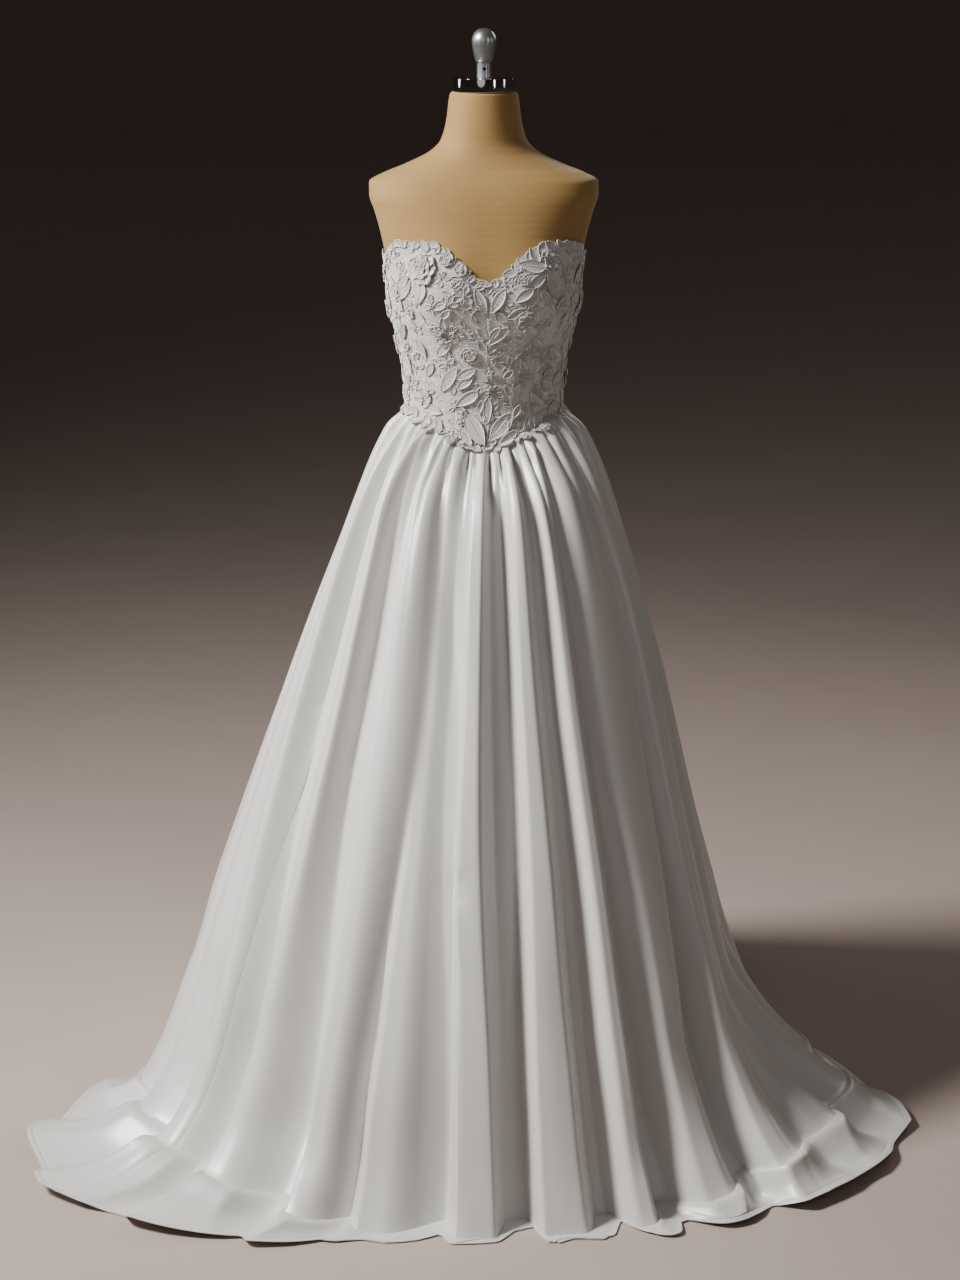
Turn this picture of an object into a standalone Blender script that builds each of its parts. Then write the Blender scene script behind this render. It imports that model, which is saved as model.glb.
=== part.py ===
"""Strapless wedding dress with a gathered skirt and a train, on a limbless dress form.

Metres, +Z up. The origin is the centre of the stand's underside, on the floor. The dress faces -Y.
Azimuths are in degrees, 0 at the centre front and positive towards +X.
"""
import math

import bmesh
import bpy
import numpy as np

# Cloth and clearances
SKIRT_WALL = 0.0024
BODICE_WALL = 0.0018
SEAM_GAP = 0.0003
FORM_CLEARANCE = 0.0008
TOUCH_GAP = 0.0003

# Dress form and stand
NECK_TOP_Z = 1.621
FORM_BOTTOM_Z = 0.860
CAP_RADIUS = 0.0473
CAP_HEIGHT = 0.0205
CAP_BEVEL = 0.0015
POLE_RADIUS = 0.0125
BASE_RADIUS = 0.170
BASE_HEIGHT = 0.012
BASE_BEVEL = 0.004
SET_SCREW_RADIUS = 0.0025
SET_SCREW_DEPTH = 0.004
SET_SCREW_Z = 1.6555

# Torso sections, outside of the bodice: height, half width, front depth, back depth, squareness
TORSO_SECTIONS = (
    (0.860, 0.150, 0.100, 0.112, 2.0),
    (0.930, 0.162, 0.106, 0.120, 2.0),
    (1.020, 0.149, 0.100, 0.108, 2.0),
    (1.080, 0.135, 0.094, 0.096, 2.0),
    (1.146, 0.1225, 0.088, 0.084, 2.0),
    (1.193, 0.1265, 0.093, 0.085, 2.0),
    (1.240, 0.1345, 0.101, 0.089, 2.0),
    (1.279, 0.1450, 0.109, 0.094, 2.0),
    (1.318, 0.1505, 0.115, 0.098, 2.0),
    (1.349, 0.1520, 0.115, 0.101, 2.1),
    (1.380, 0.1565, 0.111, 0.103, 2.2),
    (1.411, 0.1630, 0.105, 0.103, 2.35),
    (1.442, 0.1715, 0.098, 0.100, 2.45),
    (1.468, 0.1795, 0.090, 0.094, 2.5),
    (1.486, 0.1795, 0.082, 0.088, 2.45),
    (1.498, 0.1600, 0.075, 0.082, 2.4),
    (1.513, 0.1235, 0.066, 0.074, 2.25),
    (1.533, 0.0840, 0.058, 0.065, 2.1),
    (1.549, 0.0690, 0.055, 0.060, 2.0),
    (1.578, 0.0605, 0.053, 0.056, 2.0),
    (1.612, 0.0560, 0.051, 0.053, 2.0),
    (1.6185, 0.0545, 0.0505, 0.052, 2.0),
    (1.621, 0.0515, 0.0480, 0.0495, 2.0),
)

# Level rings of the covered form below and above the bodice
FORM_LOW_RINGS = (0.860, 0.930, 1.020)
FORM_HIGH_RING = 1.442
FORM_RINGS_TO_SHOULDER = 3

# Cups: azimuth, height, reach, spread in degrees, spread in metres
CUPS = (
    (-36.0, 1.322, 0.016, 17.0, 0.042),
    (36.0, 1.322, 0.016, 17.0, 0.042),
)

# Bodice edges over half the body: azimuth, top edge height, basque seam height
BODICE_EDGES = (
    (0.0, 1.3410, 1.0880),
    (9.0, 1.3520, 1.0915),
    (22.0, 1.3780, 1.0980),
    (34.0, 1.3960, 1.1050),
    (47.0, 1.4030, 1.1150),
    (63.0, 1.4010, 1.1260),
    (76.0, 1.3860, 1.1330),
    (90.0, 1.3640, 1.1370),
    (120.0, 1.3460, 1.1340),
    (150.0, 1.3350, 1.1270),
    (180.0, 1.3300, 1.1220),
)

# Skirt profiles, inside the folds, for each azimuth: reach of the cloth at five heights, where it
# meets the floor, where its hem lies, and how far its folds lie down on the floor there (0 to 1)
SKIRT_HEIGHTS = (1.000, 0.750, 0.450, 0.220, 0.070)
SKIRT_PROFILES = (
    (-180.0, 0.155, 0.270, 0.410, 0.525, 0.635, 0.710, 1.050, 1.0),
    (-155.0, 0.155, 0.270, 0.408, 0.518, 0.620, 0.695, 0.940, 1.0),
    (-138.0, 0.160, 0.270, 0.400, 0.495, 0.575, 0.635, 0.745, 1.0),
    (-119.0, 0.170, 0.272, 0.388, 0.462, 0.500, 0.520, 0.560, 1.0),
    (-100.0, 0.180, 0.275, 0.380, 0.452, 0.490, 0.508, 0.548, 1.0),
    (-88.0, 0.183, 0.277, 0.380, 0.457, 0.510, 0.550, 0.650, 1.0),
    (-74.0, 0.183, 0.277, 0.380, 0.458, 0.515, 0.570, 0.765, 1.0),
    (-60.0, 0.178, 0.270, 0.380, 0.460, 0.520, 0.580, 0.792, 1.0),
    (-47.0, 0.172, 0.265, 0.378, 0.460, 0.520, 0.575, 0.725, 0.9),
    (-34.0, 0.164, 0.258, 0.374, 0.457, 0.515, 0.562, 0.655, 0.5),
    (-20.0, 0.154, 0.250, 0.368, 0.450, 0.500, 0.530, 0.565, 0.0),
    (0.0, 0.148, 0.245, 0.364, 0.442, 0.490, 0.516, 0.538, 0.0),
    (18.0, 0.154, 0.250, 0.364, 0.444, 0.496, 0.528, 0.556, 0.0),
    (32.0, 0.164, 0.256, 0.360, 0.438, 0.505, 0.550, 0.612, 0.4),
    (46.0, 0.174, 0.260, 0.348, 0.425, 0.510, 0.570, 0.662, 0.9),
    (60.0, 0.180, 0.261, 0.330, 0.390, 0.505, 0.590, 0.706, 1.0),
    (70.0, 0.182, 0.261, 0.322, 0.374, 0.495, 0.595, 0.722, 1.0),
    (82.0, 0.182, 0.261, 0.320, 0.368, 0.480, 0.570, 0.655, 1.0),
    (98.0, 0.180, 0.262, 0.330, 0.385, 0.455, 0.500, 0.560, 1.0),
    (119.0, 0.170, 0.266, 0.370, 0.440, 0.485, 0.510, 0.552, 1.0),
    (138.0, 0.160, 0.270, 0.396, 0.488, 0.565, 0.620, 0.730, 1.0),
    (155.0, 0.155, 0.270, 0.408, 0.518, 0.620, 0.695, 0.930, 1.0),
    (180.0, 0.155, 0.270, 0.410, 0.525, 0.635, 0.710, 1.050, 1.0),
)

# Folds. Azimuth half way down, at the waist, at the floor and at the hem; reach in degrees of the
# flank before, of the flank after and of half the flat top, each half way down and at the floor;
# height half way down and at the floor
SKIRT_FOLDS = (
    (-179.0, -179.0, -179.0, -180.0, 8.0, 8.0, 7.0, 7.0, 0.5, 0.5, 0.026, 0.045),
    (-165.0, -163.0, -166.0, -170.0, 7.0, 7.0, 8.0, 8.0, 0.0, 0.0, 0.030, 0.050),
    (-150.0, -147.0, -152.0, -159.0, 8.0, 8.0, 7.0, 7.0, 1.0, 1.0, 0.024, 0.046),
    (-134.0, -131.0, -136.0, -144.0, 8.0, 8.0, 8.0, 8.0, 0.0, 0.0, 0.030, 0.048),
    (-119.0, -118.0, -119.0, -124.0, 7.0, 7.0, 8.0, 8.0, 1.0, 1.0, 0.026, 0.034),
    (-104.0, -106.0, -100.0, -102.0, 8.0, 8.0, 7.0, 7.0, 0.0, 0.0, 0.022, 0.030),
    (-90.0, -96.0, -83.0, -88.0, 7.0, 7.0, 6.5, 6.5, 0.0, 0.0, 0.022, 0.030),
    (-77.0, -85.0, -68.0, -74.0, 6.0, 6.0, 6.5, 6.5, 0.0, 0.0, 0.020, 0.032),
    (-63.5, -72.0, -54.5, -61.0, 6.0, 5.0, 9.0, 8.0, 0.0, 0.0, 0.028, 0.040),
    (-45.5, -55.0, -43.4, -43.0, 8.0, 6.0, 7.0, 7.0, 0.0, 0.0, 0.030, 0.050),
    (-31.5, -38.0, -28.0, -28.0, 6.0, 4.0, 6.0, 5.0, 0.5, 0.5, 0.028, 0.052),
    (-20.5, -26.0, -19.0, -20.5, 5.0, 4.0, 4.5, 5.0, 0.0, 1.0, 0.022, 0.050),
    (-12.0, -13.5, -7.5, -6.8, 3.5, 1.6, 6.0, 6.0, 1.5, 2.0, 0.034, 0.052),
    (5.5, 5.0, 5.0, 6.0, 7.0, 7.0, 6.0, 6.0, 1.0, 4.0, 0.024, 0.054),
    (23.5, 32.0, 21.5, 17.5, 6.0, 3.5, 5.0, 4.5, 1.5, 2.5, 0.030, 0.080),
    (38.0, 48.0, 33.5, 32.0, 6.0, 6.0, 7.0, 7.0, 0.0, 0.0, 0.018, 0.044),
    (54.5, 64.0, 47.5, 46.5, 8.0, 7.0, 7.0, 6.0, 0.0, 0.0, 0.026, 0.044),
    (69.5, 78.0, 62.0, 61.0, 7.0, 7.0, 7.0, 7.0, 0.0, 0.0, 0.022, 0.036),
    (84.0, 91.0, 77.0, 75.0, 7.0, 7.0, 7.0, 7.0, 0.0, 0.0, 0.020, 0.030),
    (99.0, 103.0, 95.0, 97.0, 7.0, 7.0, 8.0, 8.0, 0.0, 0.0, 0.022, 0.032),
    (114.0, 116.0, 113.0, 119.0, 8.0, 8.0, 7.0, 7.0, 1.0, 1.0, 0.026, 0.038),
    (129.5, 129.0, 131.0, 139.0, 7.0, 7.0, 8.0, 8.0, 0.0, 0.0, 0.028, 0.046),
    (146.0, 144.0, 148.0, 156.0, 8.0, 8.0, 8.0, 8.0, 1.0, 1.0, 0.026, 0.050),
    (162.0, 160.0, 163.0, 168.0, 8.0, 8.0, 7.0, 7.0, 0.0, 0.0, 0.030, 0.050),
    (181.0, 181.0, 181.0, 180.0, 8.0, 8.0, 7.0, 7.0, 0.5, 0.5, 0.026, 0.045),
)
GATHER_COUNT = 36
GATHER_HEIGHT = 0.0055
SKIRT_COLUMNS = 144
SKIRT_STEPS = (0.0, 0.035, 0.085, 0.17, 0.32, 0.50, 0.68, 0.83, 0.93, 1.0, 1.45, 2.0)
PROFILE_KNOTS = (0.0, 0.045, 0.16, 0.40, 0.66, 0.86, 0.955, 1.06, 2.0)

# Skirt panels: name, first column, last column, counted from the centre back towards +X
SKIRT_PANELS = (
    ("skirt_back_right", 0, 24),
    ("skirt_side_right", 24, 48),
    ("skirt_front", 48, 96),
    ("skirt_side_left", 96, 120),
    ("skirt_back_left", 120, 144),
)

# Bodice panels: name, first column, last column, counted the same way
BODICE_COLUMNS = 56
BODICE_BANDS = 8
BODICE_PANELS = (
    ("bodice_back_right", 0, 7),
    ("bodice_side_back_right", 7, 15),
    ("bodice_side_front_right", 15, 23),
    ("bodice_front_right", 23, 28),
    ("bodice_front_left", 28, 33),
    ("bodice_side_front_left", 33, 41),
    ("bodice_side_back_left", 41, 49),
    ("bodice_back_left", 49, 56),
)

# Blossoms of lace: azimuth, height, radius, turn in degrees
LACE_LIFT = 0.0009
LACE_RIM = 0.0006
BLOSSOM_POINTS = 10
BLOSSOM_HEIGHT = 0.0022
BLOSSOMS = (
    (-49.0, 1.364, 0.0200, 10.0),
    (44.0, 1.372, 0.0200, 40.0),
    (24.0, 1.290, 0.0165, 25.0),
    (-25.0, 1.292, 0.0165, 60.0),
    (-38.0, 1.152, 0.0170, 0.0),
    (38.0, 1.160, 0.0150, 30.0),
    (-80.0, 1.318, 0.0180, 15.0),
    (82.0, 1.312, 0.0180, 50.0),
    (-120.0, 1.290, 0.0180, 35.0),
    (120.0, 1.294, 0.0180, 5.0),
    (-160.0, 1.240, 0.0170, 20.0),
    (158.0, 1.180, 0.0170, 45.0),
)

# Leaves of lace: azimuth, height, length, width, turn of the tip from straight up in degrees
LEAF_POINTS = 8
LEAF_HEIGHT = 0.0013
LEAVES = (
    (-4.5, 1.312, 0.036, 0.015, -12.0),
    (5.0, 1.306, 0.036, 0.015, 16.0),
    (-5.0, 1.262, 0.034, 0.014, 24.0),
    (8.0, 1.246, 0.036, 0.015, -20.0),
    (-16.0, 1.124, 0.046, 0.017, -62.0),
    (16.0, 1.124, 0.046, 0.017, 60.0),
    (-23.0, 1.196, 0.044, 0.017, 48.0),
    (27.0, 1.205, 0.042, 0.016, -44.0),
    (-54.0, 1.255, 0.040, 0.016, -30.0),
    (55.0, 1.262, 0.040, 0.016, 30.0),
    (-66.0, 1.180, 0.038, 0.015, 20.0),
    (66.0, 1.185, 0.038, 0.015, -20.0),
    (-71.0, 1.376, 0.032, 0.014, -60.0),
    (69.0, 1.378, 0.032, 0.014, 60.0),
    (-100.0, 1.235, 0.042, 0.016, 35.0),
    (100.0, 1.230, 0.042, 0.016, -35.0),
    (-140.0, 1.180, 0.042, 0.016, -40.0),
    (140.0, 1.255, 0.042, 0.016, 40.0),
)

# Turned knob with its stem, outside line from the top: radius, height
KNOB_LINE = (
    (0.0000, 1.7160),
    (0.0060, 1.7153),
    (0.0120, 1.7122),
    (0.0164, 1.7065),
    (0.0186, 1.6990),
    (0.0182, 1.6915),
    (0.0164, 1.6810),
    (0.0142, 1.6705),
    (0.0126, 1.6665),
    (0.0109, 1.6648),
    (0.0109, 1.6422),
    (0.0000, 1.6422),
)

COLOURS = {
    "satin": (0.86, 0.85, 0.84, 1.0),
    "lace": (0.84, 0.82, 0.80, 1.0),
    "covering": (0.61, 0.46, 0.26, 1.0),
    "chrome": (0.62, 0.62, 0.64, 1.0),
    "knob": (0.55, 0.56, 0.58, 1.0),
    "stand": (0.30, 0.30, 0.31, 1.0),
}


def make_material(name, roughness, metallic):
    """A plain Principled material in one of the object's colours."""
    material = bpy.data.materials.new(name)
    material.use_nodes = True
    shader = material.node_tree.nodes["Principled BSDF"]
    shader.inputs["Base Color"].default_value = COLOURS[name]
    shader.inputs["Roughness"].default_value = roughness
    shader.inputs["Metallic"].default_value = metallic
    return material


def finish(obj, collection, material, angle=50.0):
    """Put an object in the model's collection, give it its material and shade it smooth."""
    for other in list(obj.users_collection):
        other.objects.unlink(obj)
    collection.objects.link(obj)
    obj.data.materials.clear()
    obj.data.materials.append(material)
    obj.data.shade_smooth()
    obj.data.set_sharp_from_angle(angle=math.radians(angle))
    return obj


def mesh_object(name, points, faces):
    """An object from points and faces, its faces turned outwards."""
    mesh = bpy.data.meshes.new(name)
    mesh.from_pydata([tuple(point) for point in points], [], faces)
    work = bmesh.new()
    work.from_mesh(mesh)
    bmesh.ops.recalc_face_normals(work, faces=work.faces)
    work.to_mesh(mesh)
    work.free()
    return bpy.data.objects.new(name, mesh)


def smooth_step(x):
    """0 below 0, 1 above 1, with a soft start and end."""
    x = np.clip(x, 0.0, 1.0)
    return x * x * (3.0 - 2.0 * x)


def ease_through(knots, values, at):
    """A smooth line through values, which never passes beyond them (monotone cubic)."""
    knots = np.asarray(knots, float)
    values = np.asarray(values, float)
    step = np.diff(knots)
    slope = np.diff(values) / step
    tangent = np.zeros(len(knots))
    tangent[0] = slope[0]
    tangent[-1] = slope[-1]
    for i in range(1, len(knots) - 1):
        if slope[i - 1] * slope[i] > 0.0:
            tangent[i] = 2.0 / (1.0 / slope[i - 1] + 1.0 / slope[i])
    i = int(np.clip(np.searchsorted(knots, at, side="right") - 1, 0, len(step) - 1))
    t = (at - knots[i]) / step[i]
    low = (1.0 + 2.0 * t) * (1.0 - t) ** 2 * values[i] + t * (1.0 - t) ** 2 * step[i] * tangent[i]
    high = t * t * (3.0 - 2.0 * t) * values[i + 1] + t * t * (t - 1.0) * step[i] * tangent[i + 1]
    return low + high


def column(table, index):
    """One named column of a table."""
    return [row[index] for row in table]


def around(azimuth):
    """An azimuth brought into -180 to 180."""
    return (azimuth + 180.0) % 360.0 - 180.0


def direction(azimuth):
    """The level direction that an azimuth points in."""
    turn = math.radians(azimuth)
    return np.array((math.sin(turn), -math.cos(turn), 0.0))


def torso_reach(azimuth, height):
    """Distance from the axis to the outside of the bodice, and of the bare form above it."""
    heights = column(TORSO_SECTIONS, 0)
    half_width, front, back, power = (
        ease_through(heights, column(TORSO_SECTIONS, i), height) for i in (1, 2, 3, 4)
    )
    side = abs(math.sin(math.radians(azimuth)))
    ahead = math.cos(math.radians(azimuth))
    depth = front if ahead > 0.0 else back
    reach = ((side / half_width) ** power + (abs(ahead) / depth) ** power) ** (-1.0 / power)
    for cup_azimuth, cup_height, cup_reach, spread, rise in CUPS:
        across = around(azimuth - cup_azimuth) / spread
        up = (height - cup_height) / rise
        reach += cup_reach * math.exp(-0.5 * (across * across + up * up))
    return reach


def torso_point(azimuth, height, inside=0.0):
    """A point on the torso, moved in by a wall or a clearance."""
    point = direction(azimuth) * (torso_reach(azimuth, height) - inside)
    point[2] = height
    return point


def bodice_edge(azimuth, index):
    """Height of the top edge (1) or of the basque seam (2) at an azimuth."""
    half = abs(around(azimuth))
    return ease_through(column(BODICE_EDGES, 0), column(BODICE_EDGES, index), half)


def wall_between(name, outer, inner):
    """A closed wall between two grids of points, rows by columns.

    Its side edges are cut along one diagonal, so that two panels meet evenly at their seam.
    """
    rows, columns = outer.shape[:2]
    points = list(outer.reshape(-1, 3)) + list(inner.reshape(-1, 3))
    shift = rows * columns
    faces = []
    for i in range(rows - 1):
        for j in range(columns - 1):
            a = i * columns + j
            quad = (a, a + columns, a + columns + 1, a + 1)
            faces.append(quad)
            faces.append(tuple(k + shift for k in reversed(quad)))
    for j in range(columns - 1):
        low = (rows - 1) * columns + j
        faces.append((j, j + 1, j + 1 + shift, j + shift))
        faces.append((low + 1, low, low + shift, low + 1 + shift))
    for i in range(rows - 1):
        for edge in (i * columns, i * columns + columns - 1):
            faces.append((edge, edge + shift, edge + shift + columns))
            faces.append((edge, edge + shift + columns, edge + columns))
    return mesh_object(name, points, faces)


def draw_back_edges(grid):
    """Move the first and last columns in by half a seam's gap, along the cloth."""
    grid = grid.copy()
    for edge, near in ((0, 1), (-1, -2)):
        along = grid[:, near] - grid[:, edge]
        length = np.linalg.norm(along, axis=1, keepdims=True)
        grid[:, edge] += along / length * (SEAM_GAP / 2.0)
    return grid


def cut_panels(outer, inner, panels):
    """One object for each panel of a garment that goes all round."""
    made = []
    for name, first, last in panels:
        span = np.arange(first, last + 1) % outer.shape[1]
        panel_outer = draw_back_edges(outer[:, span])
        panel_inner = draw_back_edges(inner[:, span])
        made.append(wall_between(name, panel_outer, panel_inner))
    return made


def bodice_grids():
    """The bodice's outer and inner points, rows from the top edge down, columns from the back."""
    outer = np.zeros((BODICE_BANDS + 1, BODICE_COLUMNS, 3))
    inner = np.zeros_like(outer)
    for j in range(BODICE_COLUMNS):
        azimuth = 180.0 - 360.0 * j / BODICE_COLUMNS
        top = bodice_edge(azimuth, 1)
        seam = bodice_edge(azimuth, 2)
        for i in range(BODICE_BANDS + 1):
            height = top + (seam - top) * i / BODICE_BANDS
            outer[i, j] = torso_point(azimuth, height)
            inner[i, j] = torso_point(azimuth, height, BODICE_WALL)
    return outer, inner


def fold_azimuth(cloth, step):
    """Where a column of cloth lies: its folds wander as they fall from the waist to the hem."""
    middle = column(SKIRT_FOLDS, 0)
    waist, floor, hem = (float(np.interp(cloth, middle, column(SKIRT_FOLDS, i))) for i in (1, 2, 3))
    return ease_through((0.0, 0.5, 1.0, 2.0), (waist, cloth, floor, hem), step)


def fold_height(cloth, step):
    """How far the folds stand out at a place on the cloth."""
    low = smooth_step((step - 0.4) / 0.6)
    grown = ease_through((0.0, 0.12, 0.5, 2.0), (0.10, 0.50, 1.0, 1.0), step)
    total = 0.0
    for fold in SKIRT_FOLDS:
        away = cloth - fold[0]
        before, after, flat, height = (
            fold[i] + (fold[i + 1] - fold[i]) * low for i in (4, 6, 8, 10)
        )
        flank = before if away < 0.0 else after
        shape = smooth_step(1.0 - max(0.0, abs(away) - flat) / flank)
        total = max(total, shape * grown * height)
    return total


def gather_height(cloth, step):
    """The small gathers under the basque seam, which run out into the folds."""
    size = ease_through((0.0, 0.035, 0.17, 0.40, 2.0), (0.45, 1.0, 0.8, 0.0, 0.0), step)
    wave = 0.5 + 0.5 * math.cos(math.radians(cloth * GATHER_COUNT))
    return GATHER_HEIGHT * size * wave


def skirt_profile(azimuth, step):
    """Reach, height and lay of the skirt inside its folds."""
    azimuth = around(azimuth)
    reaches = [float(np.interp(azimuth, column(SKIRT_PROFILES, 0), column(SKIRT_PROFILES, i)))
               for i in range(1, 9)]
    seam_z = bodice_edge(azimuth, 2) - SEAM_GAP
    seam_reach = torso_reach(azimuth, seam_z) - BODICE_WALL
    lay = reaches.pop()
    reach = [seam_reach, seam_reach + 0.016] + reaches
    height = [seam_z, seam_z - 0.030] + list(SKIRT_HEIGHTS) + [0.0, 0.0]
    return (ease_through(PROFILE_KNOTS, reach, step),
            ease_through(PROFILE_KNOTS, height, step), lay)


def skirt_point(cloth, step):
    """A point on the skirt's inside, and the way that its wall faces there."""
    azimuth = fold_azimuth(cloth, step)
    reach, height, lay = skirt_profile(azimuth, step)
    nudge = 0.01
    above = skirt_profile(azimuth, max(0.0, step - nudge))
    below = skirt_profile(azimuth, min(2.0, step + nudge))
    run = below[0] - above[0]
    drop = above[1] - below[1]
    length = math.hypot(run, drop)
    rise = run / length * smooth_step(step / 0.05)
    out = math.sqrt(1.0 - rise * rise)
    fold = fold_height(cloth, step)
    down = lay * smooth_step((step - 0.85) / 0.5)
    reach += fold * (1.0 - down) + gather_height(cloth, step)
    height += fold * down * (0.75 - 0.30 * smooth_step(step - 1.0))
    point = direction(azimuth) * reach
    point[2] = height
    facing = direction(azimuth) * out
    facing[2] = rise
    return point, facing


def skirt_grids():
    """The skirt's outer and inner points, rows from the seam down, columns from the back."""
    rows = len(SKIRT_STEPS)
    inner = np.zeros((rows, SKIRT_COLUMNS, 3))
    outer = np.zeros_like(inner)
    for j in range(SKIRT_COLUMNS):
        cloth = 180.0 - 360.0 * j / SKIRT_COLUMNS
        for i, step in enumerate(SKIRT_STEPS):
            point, facing = skirt_point(cloth, step)
            inner[i, j] = point
            outer[i, j] = point + facing * SKIRT_WALL
    return outer, inner


def form_heights(azimuth):
    """Heights of the form's rings at an azimuth: level but for the ones that the bodice covers."""
    top = bodice_edge(azimuth, 1)
    seam = bodice_edge(azimuth, 2)
    worn = [seam + (top - seam) * i / BODICE_BANDS for i in range(BODICE_BANDS + 1)]
    chest = [top + (FORM_HIGH_RING - top) * i / FORM_RINGS_TO_SHOULDER
             for i in range(1, FORM_RINGS_TO_SHOULDER)]
    above = [z for z in column(TORSO_SECTIONS, 0) if z >= FORM_HIGH_RING]
    return list(FORM_LOW_RINGS) + worn + chest + above


def form_torso():
    """The covered form, in the bodice's own columns, just clear of its inside."""
    clearance = BODICE_WALL + FORM_CLEARANCE
    points = []
    for j in range(BODICE_COLUMNS):
        azimuth = 180.0 - 360.0 * j / BODICE_COLUMNS
        points.append([torso_point(azimuth, height, clearance) for height in form_heights(azimuth)])
    rings = len(points[0])
    faces = []
    for i in range(rings - 1):
        for j in range(BODICE_COLUMNS):
            k = (j + 1) % BODICE_COLUMNS
            faces.append((j * rings + i, k * rings + i, k * rings + i + 1, j * rings + i + 1))
    faces.append(tuple(j * rings for j in range(BODICE_COLUMNS)))
    faces.append(tuple(j * rings + rings - 1 for j in range(BODICE_COLUMNS)))
    return mesh_object("form_torso", [point for line in points for point in line], faces)


def turned_object(name, line, steps):
    """A turned piece: its outside line screwed round the axis."""
    mesh = bpy.data.meshes.new(name)
    points = [(radius, 0.0, height) for radius, height in line]
    edges = [(i, i + 1) for i in range(len(points) - 1)]
    mesh.from_pydata(points, edges, [])
    obj = bpy.data.objects.new(name, mesh)
    screw = obj.modifiers.new("turn", "SCREW")
    screw.steps = steps
    screw.render_steps = steps
    screw.use_merge_vertices = True
    screw.merge_threshold = 0.00005
    screw.use_normal_calculate = True
    return obj


def round_bar(name, radius, low, high, bevel=0.0, vertices=32):
    """An upright round bar or disc, with softened rims."""
    bpy.ops.mesh.primitive_cylinder_add(
        vertices=vertices, radius=radius, depth=high - low, location=(0.0, 0.0, (low + high) / 2.0))
    obj = bpy.context.object
    obj.name = name
    if bevel > 0.0:
        soften = obj.modifiers.new("soften", "BEVEL")
        soften.width = bevel
        soften.segments = 2
        soften.limit_method = "ANGLE"
    return obj


def knob_with_hole(cutters):
    """The knob and its stem, with the hole of its grub screw at the front."""
    knob = turned_object("knob", KNOB_LINE, 24)
    stem_radius = KNOB_LINE[-2][0]
    bpy.ops.mesh.primitive_cylinder_add(
        vertices=12, radius=SET_SCREW_RADIUS, depth=2.0 * SET_SCREW_DEPTH,
        location=(0.0, -stem_radius, SET_SCREW_Z), rotation=(math.radians(90.0), 0.0, 0.0))
    hole = bpy.context.object
    hole.name = "cut_grub_screw"
    for other in list(hole.users_collection):
        other.objects.unlink(hole)
    cutters.objects.link(hole)
    hole.hide_render = True
    hole.display_type = "WIRE"
    cut = knob.modifiers.new("grub_screw", "BOOLEAN")
    cut.operation = "DIFFERENCE"
    cut.object = hole
    return knob


def on_bodice(grid, azimuth, height, lift):
    """A point on the bodice's outside, from the panel's own points, moved out."""
    place = ((180.0 - azimuth) % 360.0) / 360.0 * BODICE_COLUMNS
    j = int(place) % BODICE_COLUMNS
    k = (j + 1) % BODICE_COLUMNS
    side = place - int(place)
    top = bodice_edge(azimuth, 1)
    seam = bodice_edge(azimuth, 2)
    down = min(max((height - top) / (seam - top), 0.0), 1.0) * BODICE_BANDS
    i = min(int(down), BODICE_BANDS - 1)
    low = down - i
    upper = grid[i, j] * (1.0 - side) + grid[i, k] * side
    lower = grid[i + 1, j] * (1.0 - side) + grid[i + 1, k] * side
    point = upper * (1.0 - low) + lower * low
    level = np.array((point[0], point[1], 0.0))
    return point + level / np.linalg.norm(level) * lift


def lace_motif(name, grid, azimuth, height, outline, crown):
    """A thin closed piece that lies on the bodice: an outline with a raised middle."""
    scale = math.degrees(1.0 / torso_reach(azimuth, height))
    points = []
    rings = ((0.5, LACE_LIFT), (1.0, LACE_LIFT), (1.0, LACE_LIFT + LACE_RIM), (0.5, LACE_LIFT + crown))
    for share, lift in rings:
        for across, up in outline:
            points.append(on_bodice(grid, azimuth + across * share * scale, height + up * share, lift))
    count = len(outline)
    under = len(points)
    crest = under + 1
    points.append(on_bodice(grid, azimuth, height, LACE_LIFT))
    points.append(on_bodice(grid, azimuth, height, LACE_LIFT + crown * 0.9))
    faces = []
    for j in range(count):
        k = (j + 1) % count
        faces.append((under, k, j))
        for ring in range(len(rings) - 1):
            low = ring * count
            faces.append((low + j, low + k, low + count + k, low + count + j))
        faces.append((3 * count + j, 3 * count + k, crest))
    return mesh_object(name, points, faces)


def blossom_outline(radius, turn):
    """Five rounded petals."""
    outline = []
    for j in range(BLOSSOM_POINTS):
        angle = 2.0 * math.pi * j / BLOSSOM_POINTS
        petal = radius * (0.84 + 0.16 * math.cos(5.0 * angle))
        outline.append((petal * math.cos(angle + math.radians(turn)),
                        petal * math.sin(angle + math.radians(turn))))
    return outline


def leaf_outline(length, width, turn):
    """A pointed leaf, its tip turned from straight up."""
    outline = []
    lean = math.radians(turn)
    for j in range(LEAF_POINTS):
        angle = 2.0 * math.pi * j / LEAF_POINTS
        up = length / 2.0 * math.cos(angle)
        across = width / 2.0 * math.sin(angle) * abs(math.sin(angle)) ** 0.3
        outline.append((across * math.cos(lean) + up * math.sin(lean),
                        up * math.cos(lean) - across * math.sin(lean)))
    return outline


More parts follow.
